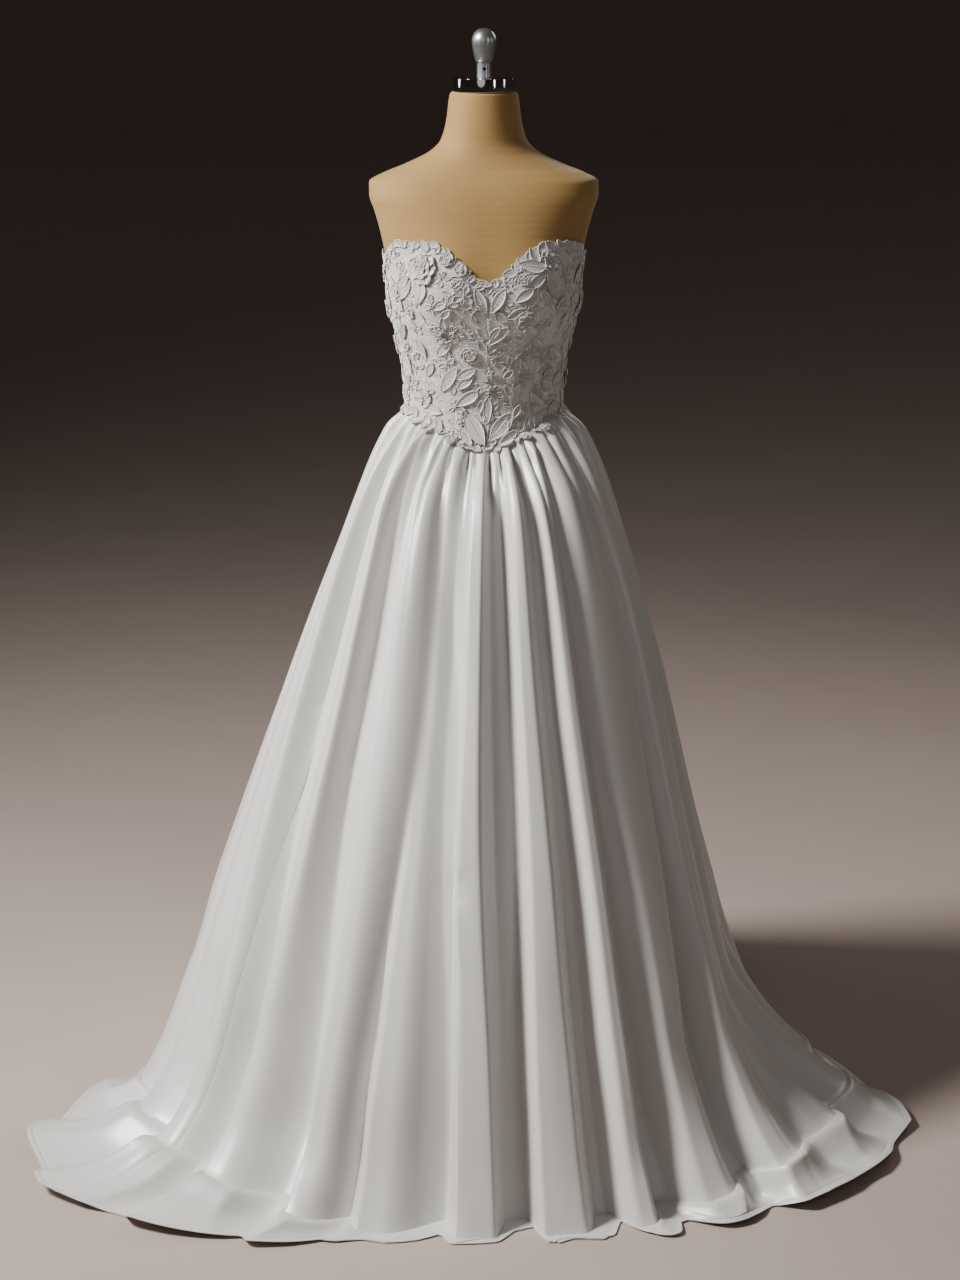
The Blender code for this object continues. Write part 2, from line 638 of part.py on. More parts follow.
def build():
    """All the sub-parts, each in its place."""
    for obj in list(bpy.data.objects):
        bpy.data.objects.remove(obj, do_unlink=True)
    model = bpy.data.collections.new("wedding_dress_on_form")
    cutters = bpy.data.collections.new("cutters")
    bpy.context.scene.collection.children.link(model)
    bpy.context.scene.collection.children.link(cutters)

    satin = make_material("satin", 0.38, 0.0)
    lace = make_material("lace", 0.70, 0.0)
    covering = make_material("covering", 0.55, 0.0)
    chrome = make_material("chrome", 0.08, 1.0)
    knob_metal = make_material("knob", 0.35, 1.0)
    stand = make_material("stand", 0.45, 1.0)

    finish(form_torso(), model, covering)
    cap_low = NECK_TOP_Z + TOUCH_GAP
    cap_high = cap_low + CAP_HEIGHT
    finish(round_bar("neck_cap", CAP_RADIUS, cap_low, cap_high, CAP_BEVEL, 36), model, chrome)
    finish(knob_with_hole(cutters), model, knob_metal)
    pole_low = BASE_HEIGHT + TOUCH_GAP
    pole_high = FORM_BOTTOM_Z - TOUCH_GAP
    finish(round_bar("stand_pole", POLE_RADIUS, pole_low, pole_high, vertices=16), model, stand)
    finish(round_bar("stand_base", BASE_RADIUS, 0.0, BASE_HEIGHT, BASE_BEVEL, 36), model, stand)

    bodice_outer, bodice_inner = bodice_grids()
    for panel in cut_panels(bodice_outer, bodice_inner, BODICE_PANELS):
        finish(panel, model, lace)
    for panel in cut_panels(*skirt_grids(), SKIRT_PANELS):
        finish(panel, model, satin)

    for number, (azimuth, height, radius, turn) in enumerate(BLOSSOMS, 1):
        outline = blossom_outline(radius, turn)
        name = "lace_blossom_%02d" % number
        motif = lace_motif(name, bodice_outer, azimuth, height, outline, BLOSSOM_HEIGHT)
        finish(motif, model, lace)
    for number, (azimuth, height, length, width, turn) in enumerate(LEAVES, 1):
        outline = leaf_outline(length, width, turn)
        name = "lace_leaf_%02d" % number
        motif = lace_motif(name, bodice_outer, azimuth, height, outline, LEAF_HEIGHT)
        finish(motif, model, lace)


build()
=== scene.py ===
"""Looks of a strapless wedding dress with a gathered skirt and a train, on a limbless dress form.

Metres, +Z up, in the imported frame. The dress faces -Y. Azimuths are in degrees, 0 at the centre
front and positive towards +X. A step runs down the skirt's cloth: 0 at the basque seam, 1 where it
meets the floor and 2 at its hem.
"""
import math

import bmesh
import bpy
import numpy as np
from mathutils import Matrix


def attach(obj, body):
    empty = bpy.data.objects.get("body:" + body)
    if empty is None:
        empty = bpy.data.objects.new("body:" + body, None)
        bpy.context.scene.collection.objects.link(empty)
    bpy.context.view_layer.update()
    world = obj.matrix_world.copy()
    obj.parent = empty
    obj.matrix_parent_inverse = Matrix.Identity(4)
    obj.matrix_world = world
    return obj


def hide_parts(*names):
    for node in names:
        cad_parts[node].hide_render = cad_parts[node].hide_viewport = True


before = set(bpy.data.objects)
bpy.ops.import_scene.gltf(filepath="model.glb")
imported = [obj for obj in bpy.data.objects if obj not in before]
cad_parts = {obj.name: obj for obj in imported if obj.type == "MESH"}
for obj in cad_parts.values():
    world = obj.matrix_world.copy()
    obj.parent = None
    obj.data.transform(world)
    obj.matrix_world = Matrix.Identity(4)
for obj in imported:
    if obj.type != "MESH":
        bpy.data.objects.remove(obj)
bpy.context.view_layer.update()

bl_info = {
    "name": "Wedding dress on a dress form",
    "version": (1, 0, 0),
    "blender": (4, 5, 0),
    "location": "View3D > Sidebar > Dress",
    "description": "Builds the cloth, the lace, the dress form and the stage round the packed part",
    "category": "Add Mesh",
}

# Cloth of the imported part
SKIRT_WALL = 0.0024
BODICE_WALL = 0.0018
SEAM_GAP = 0.0003
FORM_CLEARANCE = 0.0008
GATHER_COUNT = 44

# Torso sections, outside of the bodice: height, half width, front depth, back depth, squareness
TORSO_SECTIONS = (
    (0.860, 0.150, 0.100, 0.112, 2.0),
    (0.930, 0.162, 0.106, 0.120, 2.0),
    (1.020, 0.149, 0.100, 0.108, 2.0),
    (1.080, 0.135, 0.094, 0.096, 2.0),
    (1.146, 0.1225, 0.088, 0.084, 2.0),
    (1.193, 0.1265, 0.093, 0.085, 2.0),
    (1.240, 0.1345, 0.101, 0.089, 2.0),
    (1.279, 0.1450, 0.109, 0.094, 2.0),
    (1.318, 0.1505, 0.115, 0.098, 2.0),
    (1.349, 0.1520, 0.115, 0.101, 2.1),
    (1.380, 0.1565, 0.111, 0.103, 2.2),
    (1.411, 0.1630, 0.105, 0.103, 2.35),
    (1.442, 0.1715, 0.098, 0.100, 2.45),
    (1.468, 0.1795, 0.090, 0.094, 2.5),
    (1.486, 0.1795, 0.082, 0.088, 2.45),
    (1.498, 0.1600, 0.075, 0.082, 2.4),
    (1.513, 0.1235, 0.066, 0.074, 2.25),
    (1.533, 0.0840, 0.058, 0.065, 2.1),
    (1.549, 0.0690, 0.055, 0.060, 2.0),
    (1.578, 0.0605, 0.053, 0.056, 2.0),
    (1.612, 0.0560, 0.051, 0.053, 2.0),
    (1.6185, 0.0545, 0.0505, 0.052, 2.0),
    (1.621, 0.0515, 0.0480, 0.0495, 2.0),
)

# Cups: azimuth, height, reach, spread in degrees, spread in metres
CUPS = (
    (-36.0, 1.322, 0.016, 17.0, 0.042),
    (36.0, 1.322, 0.016, 17.0, 0.042),
)

# Bodice edges over half the body: azimuth, top edge height, basque seam height
BODICE_EDGES = (
    (0.0, 1.3410, 1.0880),
    (9.0, 1.3520, 1.0915),
    (22.0, 1.3780, 1.0980),
    (34.0, 1.3960, 1.1050),
    (47.0, 1.4030, 1.1150),
    (63.0, 1.4010, 1.1260),
    (76.0, 1.3860, 1.1330),
    (90.0, 1.3640, 1.1370),
    (120.0, 1.3460, 1.1340),
    (150.0, 1.3350, 1.1270),
    (180.0, 1.3300, 1.1220),
)
TOP_EDGE = 1
BASQUE_SEAM = 2

# Skirt profiles, inside the folds, for each azimuth: reach of the cloth at five heights, where it
# meets the floor, where its hem lies, and how far its folds lie down on the floor there (0 to 1)
SKIRT_HEIGHTS = (1.000, 0.750, 0.450, 0.220, 0.070)
SKIRT_PROFILES = (
    (-180.0, 0.155, 0.270, 0.410, 0.525, 0.635, 0.710, 1.050, 1.0),
    (-155.0, 0.155, 0.270, 0.408, 0.518, 0.620, 0.695, 0.940, 1.0),
    (-138.0, 0.160, 0.270, 0.400, 0.495, 0.575, 0.635, 0.745, 1.0),
    (-119.0, 0.170, 0.272, 0.388, 0.462, 0.500, 0.520, 0.560, 1.0),
    (-100.0, 0.180, 0.275, 0.380, 0.452, 0.490, 0.508, 0.548, 1.0),
    (-88.0, 0.183, 0.277, 0.380, 0.457, 0.510, 0.550, 0.650, 1.0),
    (-74.0, 0.183, 0.277, 0.380, 0.458, 0.515, 0.570, 0.765, 1.0),
    (-60.0, 0.178, 0.270, 0.380, 0.460, 0.520, 0.580, 0.792, 1.0),
    (-47.0, 0.172, 0.265, 0.378, 0.460, 0.520, 0.575, 0.725, 0.9),
    (-34.0, 0.164, 0.258, 0.374, 0.457, 0.515, 0.562, 0.655, 0.5),
    (-20.0, 0.154, 0.250, 0.368, 0.450, 0.500, 0.530, 0.565, 0.0),
    (0.0, 0.148, 0.245, 0.364, 0.442, 0.490, 0.516, 0.538, 0.0),
    (18.0, 0.154, 0.250, 0.364, 0.444, 0.496, 0.528, 0.556, 0.0),
    (32.0, 0.164, 0.256, 0.360, 0.438, 0.505, 0.550, 0.612, 0.4),
    (46.0, 0.174, 0.260, 0.348, 0.425, 0.510, 0.570, 0.662, 0.9),
    (60.0, 0.180, 0.261, 0.330, 0.390, 0.505, 0.590, 0.706, 1.0),
    (70.0, 0.182, 0.261, 0.322, 0.374, 0.495, 0.595, 0.722, 1.0),
    (82.0, 0.182, 0.261, 0.320, 0.368, 0.480, 0.570, 0.655, 1.0),
    (98.0, 0.180, 0.262, 0.330, 0.385, 0.455, 0.500, 0.560, 1.0),
    (119.0, 0.170, 0.266, 0.370, 0.440, 0.485, 0.510, 0.552, 1.0),
    (138.0, 0.160, 0.270, 0.396, 0.488, 0.565, 0.620, 0.730, 1.0),
    (155.0, 0.155, 0.270, 0.408, 0.518, 0.620, 0.695, 0.930, 1.0),
    (180.0, 0.155, 0.270, 0.410, 0.525, 0.635, 0.710, 1.050, 1.0),
)
PROFILE_KNOTS = (0.0, 0.045, 0.16, 0.40, 0.66, 0.86, 0.955, 1.06, 2.0)

# How far the pooled cloth reaches past its profile in front, and keeps inside it elsewhere
FRONT_EASE = 0.018
SIDE_EASE = 0.022

# Folds. Azimuth half way down, at the waist, at the floor and at the hem; reach in degrees of the
# flank before, of the flank after and of half the flat top, each half way down and at the floor;
# height half way down and at the floor
SKIRT_FOLDS = (
    (-179.0, -179.0, -179.0, -180.0, 5.0, 4.0, 7.0, 9.0, 0.5, 1.0, 0.026, 0.048),
    (-165.0, -163.0, -166.0, -170.0, 4.0, 3.0, 7.0, 9.0, 0.5, 1.0, 0.030, 0.052),
    (-150.0, -147.0, -152.0, -159.0, 7.0, 3.5, 4.0, 9.0, 1.0, 1.0, 0.024, 0.046),
    (-134.0, -131.0, -136.0, -144.0, 4.0, 3.0, 7.0, 9.0, 0.5, 1.0, 0.030, 0.050),
    (-119.0, -118.0, -119.0, -124.0, 6.0, 4.0, 4.0, 8.0, 1.0, 1.0, 0.024, 0.034),
    (-104.0, -106.0, -100.0, -102.0, 4.0, 3.0, 6.0, 8.0, 0.5, 1.0, 0.022, 0.030),
    (-90.0, -96.0, -83.0, -88.0, 6.0, 3.0, 4.0, 8.0, 0.5, 1.0, 0.020, 0.032),
    (-77.0, -85.0, -69.0, -75.0, 5.0, 2.4, 4.0, 9.0, 0.5, 1.0, 0.022, 0.046),
    (-64.0, -71.0, -56.0, -61.0, 6.0, 2.4, 2.4, 9.0, 0.5, 0.8, 0.042, 0.064),
    (-46.5, -55.0, -44.5, -46.0, 7.0, 2.2, 2.2, 9.0, 0.5, 0.8, 0.044, 0.066),
    (-31.5, -38.0, -30.0, -31.0, 3.0, 2.2, 12.0, 7.5, 1.0, 1.2, 0.038, 0.062),
    (-20.5, -26.0, -20.5, -21.5, 5.0, 3.0, 5.0, 7.0, 0.5, 1.5, 0.012, 0.050),
    (-7.3, -6.5, -4.0, -4.0, 1.8, 1.7, 4.4, 3.4, 1.8, 2.6, 0.040, 0.056),
    (9.7, 12.0, 7.9, 10.0, 3.2, 2.8, 5.6, 4.2, 1.2, 3.4, 0.028, 0.056),
    (23.6, 31.0, 20.5, 22.3, 3.6, 3.2, 5.0, 4.0, 0.8, 1.2, 0.028, 0.066),
    (41.0, 50.0, 31.5, 31.0, 11.0, 6.0, 12.0, 8.0, 3.0, 2.0, 0.018, 0.060),
    (58.0, 66.0, 43.0, 42.0, 4.0, 3.0, 9.0, 9.0, 0.6, 1.0, 0.022, 0.062),
    (70.0, 78.0, 57.0, 56.0, 8.0, 7.0, 8.0, 6.0, 0.5, 1.0, 0.014, 0.046),
    (84.0, 91.0, 74.0, 73.0, 8.0, 8.0, 8.0, 4.0, 0.5, 1.0, 0.014, 0.038),
    (99.0, 103.0, 95.0, 97.0, 6.0, 8.0, 4.0, 3.5, 0.5, 1.0, 0.022, 0.032),
    (114.0, 116.0, 113.0, 119.0, 4.0, 8.0, 7.0, 4.0, 1.0, 1.0, 0.026, 0.038),
    (129.5, 129.0, 131.0, 139.0, 7.0, 9.0, 4.0, 3.5, 0.5, 1.0, 0.028, 0.048),
    (146.0, 144.0, 148.0, 156.0, 5.0, 9.0, 7.0, 3.5, 1.0, 1.0, 0.026, 0.050),
    (162.0, 160.0, 163.0, 168.0, 7.0, 9.0, 4.0, 3.5, 0.5, 1.0, 0.030, 0.052),
    (181.0, 181.0, 181.0, 180.0, 5.0, 4.0, 7.0, 9.0, 0.5, 1.0, 0.026, 0.048),
)

# Dents and soft buckles of the skirt: azimuth on the cloth, step, reach across in degrees, reach
# along in steps, depth (positive stands out), slant in degrees of azimuth per step
SKIRT_DENTS = (
    (-9.8, 0.640, 1.3, 0.009, -0.009, 0.0),
    (-9.4, 0.618, 1.4, 0.011, 0.004, 0.0),
    (-15.0, 0.36, 2.8, 0.070, -0.010, 30.0),
    (-25.0, 0.47, 3.0, 0.060, 0.005, 25.0),
    (-40.0, 0.52, 4.0, 0.090, 0.004, -20.0),
    (-52.0, 0.88, 6.0, 0.030, -0.010, -60.0),
    (-36.0, 0.93, 4.5, 0.028, -0.009, 40.0),
    (-24.0, 0.90, 3.5, 0.030, 0.006, 20.0),
    (14.0, 0.80, 2.6, 0.090, -0.006, 0.0),
    (30.0, 0.92, 4.0, 0.026, -0.008, -30.0),
    (47.0, 0.88, 5.0, 0.034, -0.010, 50.0),
    (61.0, 0.80, 4.5, 0.040, 0.006, 30.0),
    (76.0, 0.90, 5.0, 0.030, -0.008, -40.0),
    (-72.0, 0.86, 5.0, 0.035, -0.009, 40.0),
    (-97.0, 0.84, 5.0, 0.040, -0.008, -30.0),
    (104.0, 0.86, 5.0, 0.035, -0.008, 30.0),
    (137.0, 0.84, 5.5, 0.040, -0.010, -40.0),
    (-141.0, 0.86, 5.5, 0.040, -0.010, 35.0),
    (171.0, 0.88, 5.0, 0.040, -0.009, 20.0),
    (-172.0, 0.92, 5.0, 0.030, 0.007, -20.0),
)

# Skirt panels: name, first and last azimuth of the cloth
SKIRT_PANELS = (
    ("skirt_back_right", 180.0, 120.0),
    ("skirt_side_right", 120.0, 60.0),
    ("skirt_front", 60.0, -60.0),
    ("skirt_side_left", -60.0, -120.0),
    ("skirt_back_left", -120.0, -180.0),
)

# Bodice panels: name, first and last column of 56 counted from the centre back towards +X
BODICE_COLUMNS = 56
BODICE_PANELS = (
    ("bodice_back_right", 0, 7),
    ("bodice_side_back_right", 7, 15),
    ("bodice_side_front_right", 15, 23),
    ("bodice_front_right", 23, 28),
    ("bodice_front_left", 28, 33),
    ("bodice_side_front_left", 33, 41),
    ("bodice_side_back_left", 41, 49),
    ("bodice_back_left", 49, 56),
)

# Corded leaves of the front: azimuth, height, length, width, turn of the tip from straight up
FRONT_LEAVES = (
    (-6.0, 1.317, 0.040, 0.015, 155.0),
    (7.0, 1.317, 0.041, 0.016, -150.0),
    (30.0, 1.368, 0.042, 0.020, -80.0),
    (30.0, 1.353, 0.043, 0.012, -100.0),
    (32.0, 1.345, 0.038, 0.015, -125.0),
    (24.0, 1.325, 0.034, 0.015, -125.0),
    (30.0, 1.319, 0.026, 0.012, -155.0),
    (38.0, 1.320, 0.030, 0.013, 145.0),
    (41.0, 1.338, 0.037, 0.008, 165.0),
    (20.0, 1.297, 0.032, 0.014, -120.0),
    (9.0, 1.292, 0.024, 0.014, -55.0),
    (8.0, 1.262, 0.040, 0.015, -135.0),
    (-33.0, 1.310, 0.026, 0.013, -120.0),
    (-46.0, 1.328, 0.036, 0.023, -170.0),
    (-60.0, 1.325, 0.042, 0.015, -125.0),
    (-61.0, 1.339, 0.044, 0.015, 55.0),
    (-73.0, 1.337, 0.032, 0.013, -40.0),
    (-66.0, 1.308, 0.028, 0.013, 150.0),
    (-49.0, 1.294, 0.028, 0.009, 140.0),
    (-30.0, 1.297, 0.022, 0.010, 50.0),
    (-33.0, 1.280, 0.026, 0.009, 5.0),
    (-36.0, 1.242, 0.038, 0.014, 45.0),
    (-35.0, 1.193, 0.050, 0.016, 35.0),
    (-20.0, 1.202, 0.036, 0.015, -120.0),
    (-21.0, 1.188, 0.032, 0.013, -130.0),
    (-6.0, 1.200, 0.028, 0.012, 135.0),
    (-20.0, 1.162, 0.042, 0.017, -125.0),
    (0.0, 1.144, 0.041, 0.013, 180.0),
    (-7.0, 1.150, 0.024, 0.009, -165.0),
    (-12.0, 1.114, 0.056, 0.025, 150.0),
    (13.0, 1.118, 0.055, 0.023, -140.0),
    (19.0, 1.100, 0.038, 0.015, -128.0),
    (-20.0, 1.103, 0.034, 0.013, 150.0),
    (-50.0, 1.119, 0.026, 0.010, -160.0),
    (-45.0, 1.119, 0.025, 0.010, 155.0),
    (-72.0, 1.213, 0.034, 0.012, 155.0),
    (5.0, 1.246, 0.024, 0.011, 30.0),
    (-5.0, 1.246, 0.024, 0.011, -35.0),
    (5.0, 1.267, 0.024, 0.011, 40.0),
    (-5.0, 1.267, 0.024, 0.011, -40.0),
    (20.0, 1.175, 0.022, 0.010, 145.0),
    (19.0, 1.201, 0.019, 0.010, 50.0),
    (-82.0, 1.303, 0.038, 0.014, 165.0),
    (82.0, 1.303, 0.038, 0.014, -165.0),
    (-69.0, 1.262, 0.036, 0.012, 35.0),
    (-77.0, 1.180, 0.036, 0.012, 40.0),
    (60.0, 1.278, 0.029, 0.012, 10.0),
    (58.0, 1.229, 0.034, 0.012, -45.0),
    (67.0, 1.187, 0.027, 0.012, 30.0),
    (40.0, 1.248, 0.032, 0.012, -40.0),
    (46.0, 1.159, 0.028, 0.012, -35.0),
    (64.0, 1.140, 0.028, 0.012, 45.0),
    (32.0, 1.214, 0.027, 0.010, -30.0),
    (-55.0, 1.240, 0.030, 0.012, 160.0),
    (-51.0, 1.206, 0.026, 0.011, -150.0),
    (70.0, 1.350, 0.034, 0.014, 30.0),
    (60.0, 1.330, 0.030, 0.012, -60.0),
    (-50.0, 1.142, 0.026, 0.015, 110.0),
    (29.0, 1.142, 0.024, 0.010, -150.0),
)

# Blossoms of the front: azimuth, height, radius, petals, layers, rise of the petals (0 to 1)
FRONT_BLOSSOMS = (
    (-45.0, 1.363, 0.0250, 7, 3, 0.36),
    (43.0, 1.374, 0.0190, 6, 2, 0.36),
    (27.0, 1.286, 0.0170, 6, 2, 0.26),
    (-69.0, 1.322, 0.0140, 6, 2, 0.24),
    (-38.0, 1.271, 0.0130, 5, 2, 0.30),
    (-16.0, 1.232, 0.0140, 5, 2, 0.34),
    (-60.0, 1.160, 0.0165, 5, 1, 0.16),
    (-57.0, 1.296, 0.0095, 5, 1, 0.30),
    (24.0, 1.346, 0.0095, 5, 2, 0.35),
    (-25.0, 1.141, 0.0075, 5, 1, 0.35),
    (-26.0, 1.126, 0.0065, 5, 1, 0.35),
    (-31.0, 1.098, 0.0095, 5, 2, 0.32),
    (-22.0, 1.093, 0.0080, 5, 1, 0.30),
    (34.0, 1.103, 0.0095, 5, 2, 0.32),
    (51.0, 1.113, 0.0070, 5, 1, 0.30),
    (3.0, 1.201, 0.0065, 5, 1, 0.35),
    (1.0, 1.178, 0.0065, 5, 1, 0.35),
    (-30.0, 1.378, 0.0110, 5, 2, 0.42),
    (-20.0, 1.363, 0.0095, 5, 1, 0.30),
    (-36.0, 1.253, 0.0090, 5, 1, 0.30),
    (-71.0, 1.240, 0.0095, 5, 1, 0.25),
    (52.0, 1.306, 0.0120, 5, 1, 0.22),
    (56.0, 1.196, 0.0095, 5, 1, 0.25),
)

# Stems of corded thread on the front: places that each one passes, azimuth and height
FRONT_STEMS = (
    ((-37.0, 1.147), (-29.0, 1.154), (-19.0, 1.160), (-9.0, 1.170), (1.0, 1.176)),
    ((1.0, 1.176), (2.5, 1.200), (-1.0, 1.224), (0.5, 1.248), (-0.5, 1.290)),
    ((-48.0, 1.288), (-38.0, 1.272), (-33.0, 1.255), (-32.0, 1.236), (-24.0, 1.215)),
    ((1.0, 1.122), (-0.5, 1.102), (0.5, 1.084)),
    ((42.0, 1.330), (44.0, 1.284), (45.0, 1.244), (43.0, 1.205), (41.0, 1.165), (35.0, 1.112)),
    ((-70.0, 1.310), (-70.0, 1.263), (-74.0, 1.216), (-66.0, 1.178), (-61.0, 1.150)),
    ((-20.0, 1.370), (-18.0, 1.346), (-25.0, 1.325), (-29.0, 1.300)),
    ((24.0, 1.106), (34.0, 1.112), (43.0, 1.128), (57.0, 1.140), (74.0, 1.150)),
    ((-26.0, 1.115), (-36.0, 1.118), (-50.0, 1.130), (-60.0, 1.145), (-76.0, 1.150)),
    ((27.0, 1.270), (33.0, 1.245), (24.0, 1.222), (28.0, 1.195), (22.0, 1.168), (26.0, 1.140)),
)

# Neck cap
NECK_TOP_Z = 1.621
TOUCH_GAP = 0.0003
CAP_RADIUS = 0.0473
CAP_HEIGHT = 0.0205

# Turned metal: outside line of the knob and its stem from the bottom up, radius and height
KNOB_LINE = (
    (0.0109, 1.6422),
    (0.0109, 1.6636),
    (0.0100, 1.6640),
    (0.0100, 1.6652),
    (0.0120, 1.6655),
    (0.0126, 1.6665),
    (0.0133, 1.6680),
    (0.0142, 1.6705),
    (0.0153, 1.6755),
    (0.0164, 1.6810),
    (0.0175, 1.6865),
    (0.0182, 1.6915),
    (0.0186, 1.6955),
    (0.0186, 1.6990),
    (0.0180, 1.7030),
    (0.0164, 1.7065),
    (0.0144, 1.7098),
    (0.0120, 1.7122),
    (0.0092, 1.7141),
    (0.0060, 1.7153),
    (0.0030, 1.7159),
)
GRUB_SCREW_RADIUS = 0.0025
GRUB_SCREW_DEPTH = 0.004
GRUB_SCREW_Z = 1.6555

# Studio floor: a disc that curves up into a wall
FLOOR_RADIUS = 22.0
FLOOR_BEND = 5.0
BEND_STEPS = 12
WALL_HEIGHT = 12.0

# The photograph's camera
CAMERA_DISTANCE = 4.2
CAMERA_HEIGHT = 1.85
CAMERA_AZIMUTH = -3.5
CAMERA_DOWN = 14.6
CAMERA_LENS = 75.94
CAMERA_YAW = 0.0821

# Lights: name, azimuth, distance, height, width, length, spread in degrees, power in watts, colour,
# height that it aims at
LIGHTS = (
    ("key", -70.0, 3.2, 3.5, 1.1, 1.1, 110.0, 90.0, "#FEFEFA", 0.70),
    ("front_fill", -14.0, 4.6, 2.3, 2.4, 2.4, 120.0, 3.5, "#F4F4F8", 0.80),
    ("rim", 140.0, 3.4, 2.6, 1.4, 1.4, 120.0, 6.0, "#FFF6EE", 0.90),
    ("right_strip", 36.0, 3.2, 2.0, 0.2, 1.6, 140.0, 3.0, "#FFFFFF", 1.60),
    ("far_right_strip", 78.0, 3.0, 2.0, 0.3, 1.4, 140.0, 1.5, "#FFF8F0", 1.60),
    ("left_strip", -108.0, 3.0, 2.0, 0.6, 1.4, 140.0, 4.0, "#E8F0FF", 1.60),
)


def smooth_step(x):
    """0 below 0, 1 above 1, with a soft start and end."""
    x = np.clip(x, 0.0, 1.0)
    return x * x * (3.0 - 2.0 * x)


def column(table, index):
    """One named column of a table."""
    return [row[index] for row in table]


def around(azimuth):
    """Azimuths brought into -180 to 180."""
    return (azimuth + 180.0) % 360.0 - 180.0


def ease_through(knots, values, at):
    """A smooth line through values, which never passes beyond them (monotone cubic).

    Values are one row for each knot: a number, or an array with one number for each place.
    """
    knots = np.asarray(knots, float)
    values = np.asarray(values, float)
    at = np.asarray(at, float)
    span = np.diff(knots).reshape((-1,) + (1,) * (values.ndim - 1))
    slope = np.diff(values, axis=0) / span
    before = slope[:-1]
    after = slope[1:]
    same = before * after > 0.0
    both = np.where(same, before + after, 1.0)
    middle = np.where(same, 2.0 * before * after / both, 0.0)
    tangent = np.concatenate((slope[:1], middle, slope[-1:]))
    i = np.clip(np.searchsorted(knots, at, side="right") - 1, 0, len(knots) - 2)

    def pick(rows, index):
        return rows[index] if rows.ndim == 1 else np.take_along_axis(rows, index[None], axis=0)[0]

    width = knots[i + 1] - knots[i]
    t = (at - knots[i]) / width
    low = (1.0 + 2.0 * t) * (1.0 - t) ** 2 * pick(values, i)
    low = low + t * (1.0 - t) ** 2 * width * pick(tangent, i)
    high = t * t * (3.0 - 2.0 * t) * pick(values, i + 1)
    return low + high + t * t * (t - 1.0) * width * pick(tangent, i + 1)


def drift(x, y, seed):
    """Soft noise from about -1 to 1, whose features are about one unit across."""
    rng = np.random.default_rng(seed)
    total = 0.0
    for _ in range(7):
        turn, phase = rng.uniform(0.0, 2.0 * math.pi, 2)
        pace = math.pi * rng.uniform(0.55, 1.45)
        total = total + np.sin(pace * (x * math.cos(turn) + y * math.sin(turn)) + phase)
    return total / 3.7


def directions(azimuth):
    """The level directions that azimuths point in."""
    turn = np.radians(azimuth)
    return np.stack((np.sin(turn), -np.cos(turn), np.zeros_like(turn)), axis=-1)


def at_reach(azimuth, reach, height):
    """Points at a distance from the axis."""
    points = directions(azimuth) * np.asarray(reach)[..., None]
    points[..., 2] = height
    return points


def torso_reach(azimuth, height):
    """Distance from the axis to the outside of the bodice, and of the bare form above it."""
    heights = column(TORSO_SECTIONS, 0)
    half_width, front, back, power = (
        ease_through(heights, column(TORSO_SECTIONS, i), height) for i in (1, 2, 3, 4)
    )
    side = np.abs(np.sin(np.radians(azimuth)))
    ahead = np.cos(np.radians(azimuth))
    depth = np.where(ahead > 0.0, front, back)
    reach = ((side / half_width) ** power + (np.abs(ahead) / depth) ** power) ** (-1.0 / power)
    for cup_azimuth, cup_height, cup_reach, spread, rise in CUPS:
        across = around(azimuth - cup_azimuth) / spread
        up = (height - cup_height) / rise
        reach = reach + cup_reach * np.exp(-0.5 * (across * across + up * up))
    return reach


def bodice_edge(azimuth, index):
    """Height of the top edge or of the basque seam."""
    half = np.abs(around(np.asarray(azimuth, float)))
    return ease_through(column(BODICE_EDGES, 0), column(BODICE_EDGES, index), half)


def all_round(table):
    """The folds with one more at each end, so that the cloth closes at the back."""
    def shifted(row, turn):
        return tuple(value + turn for value in row[:4]) + row[4:]
    return (shifted(table[-2], -360.0),) + table + (shifted(table[1], 360.0),)


def fold_azimuth(cloth, step):
    """Where the cloth lies: its folds wander as they fall from the waist to the hem."""
    folds = all_round(SKIRT_FOLDS)
    waist, floor, hem = (np.interp(cloth, column(folds, 0), column(folds, i)) for i in (1, 2, 3))
    return ease_through((0.0, 0.5, 1.0, 2.0), np.stack((waist, cloth, floor, hem)), step)


def fold_height(cloth, step):
    """How far the folds stand out, with soft valleys between them."""
    low = smooth_step((step - 0.4) / 0.6)
    grown = ease_through((0.0, 0.12, 0.5, 1.0, 2.0), (0.03, 0.55, 1.0, 1.0, 0.80), step)
    blend = 5.0 - 2.6 * smooth_step((step - 0.75) / 0.4)
    total = np.zeros_like(cloth)
    for fold in SKIRT_FOLDS[:-1]:
        away = around(cloth - fold[0])
        before, after, flat, height = (
            fold[i] + (fold[i + 1] - fold[i]) * low for i in (4, 6, 8, 10)
        )
        flank = np.where(away < 0.0, before, after) * (1.0 + 0.25 * smooth_step((step - 1.0) / 0.8))
        beyond = np.clip((np.abs(away) - flat) / flank, 0.0, 1.0)
        shape = (1.0 - beyond * beyond) ** 1.5
        total = total + (shape * height) ** blend
    return total ** (1.0 / blend) * grown


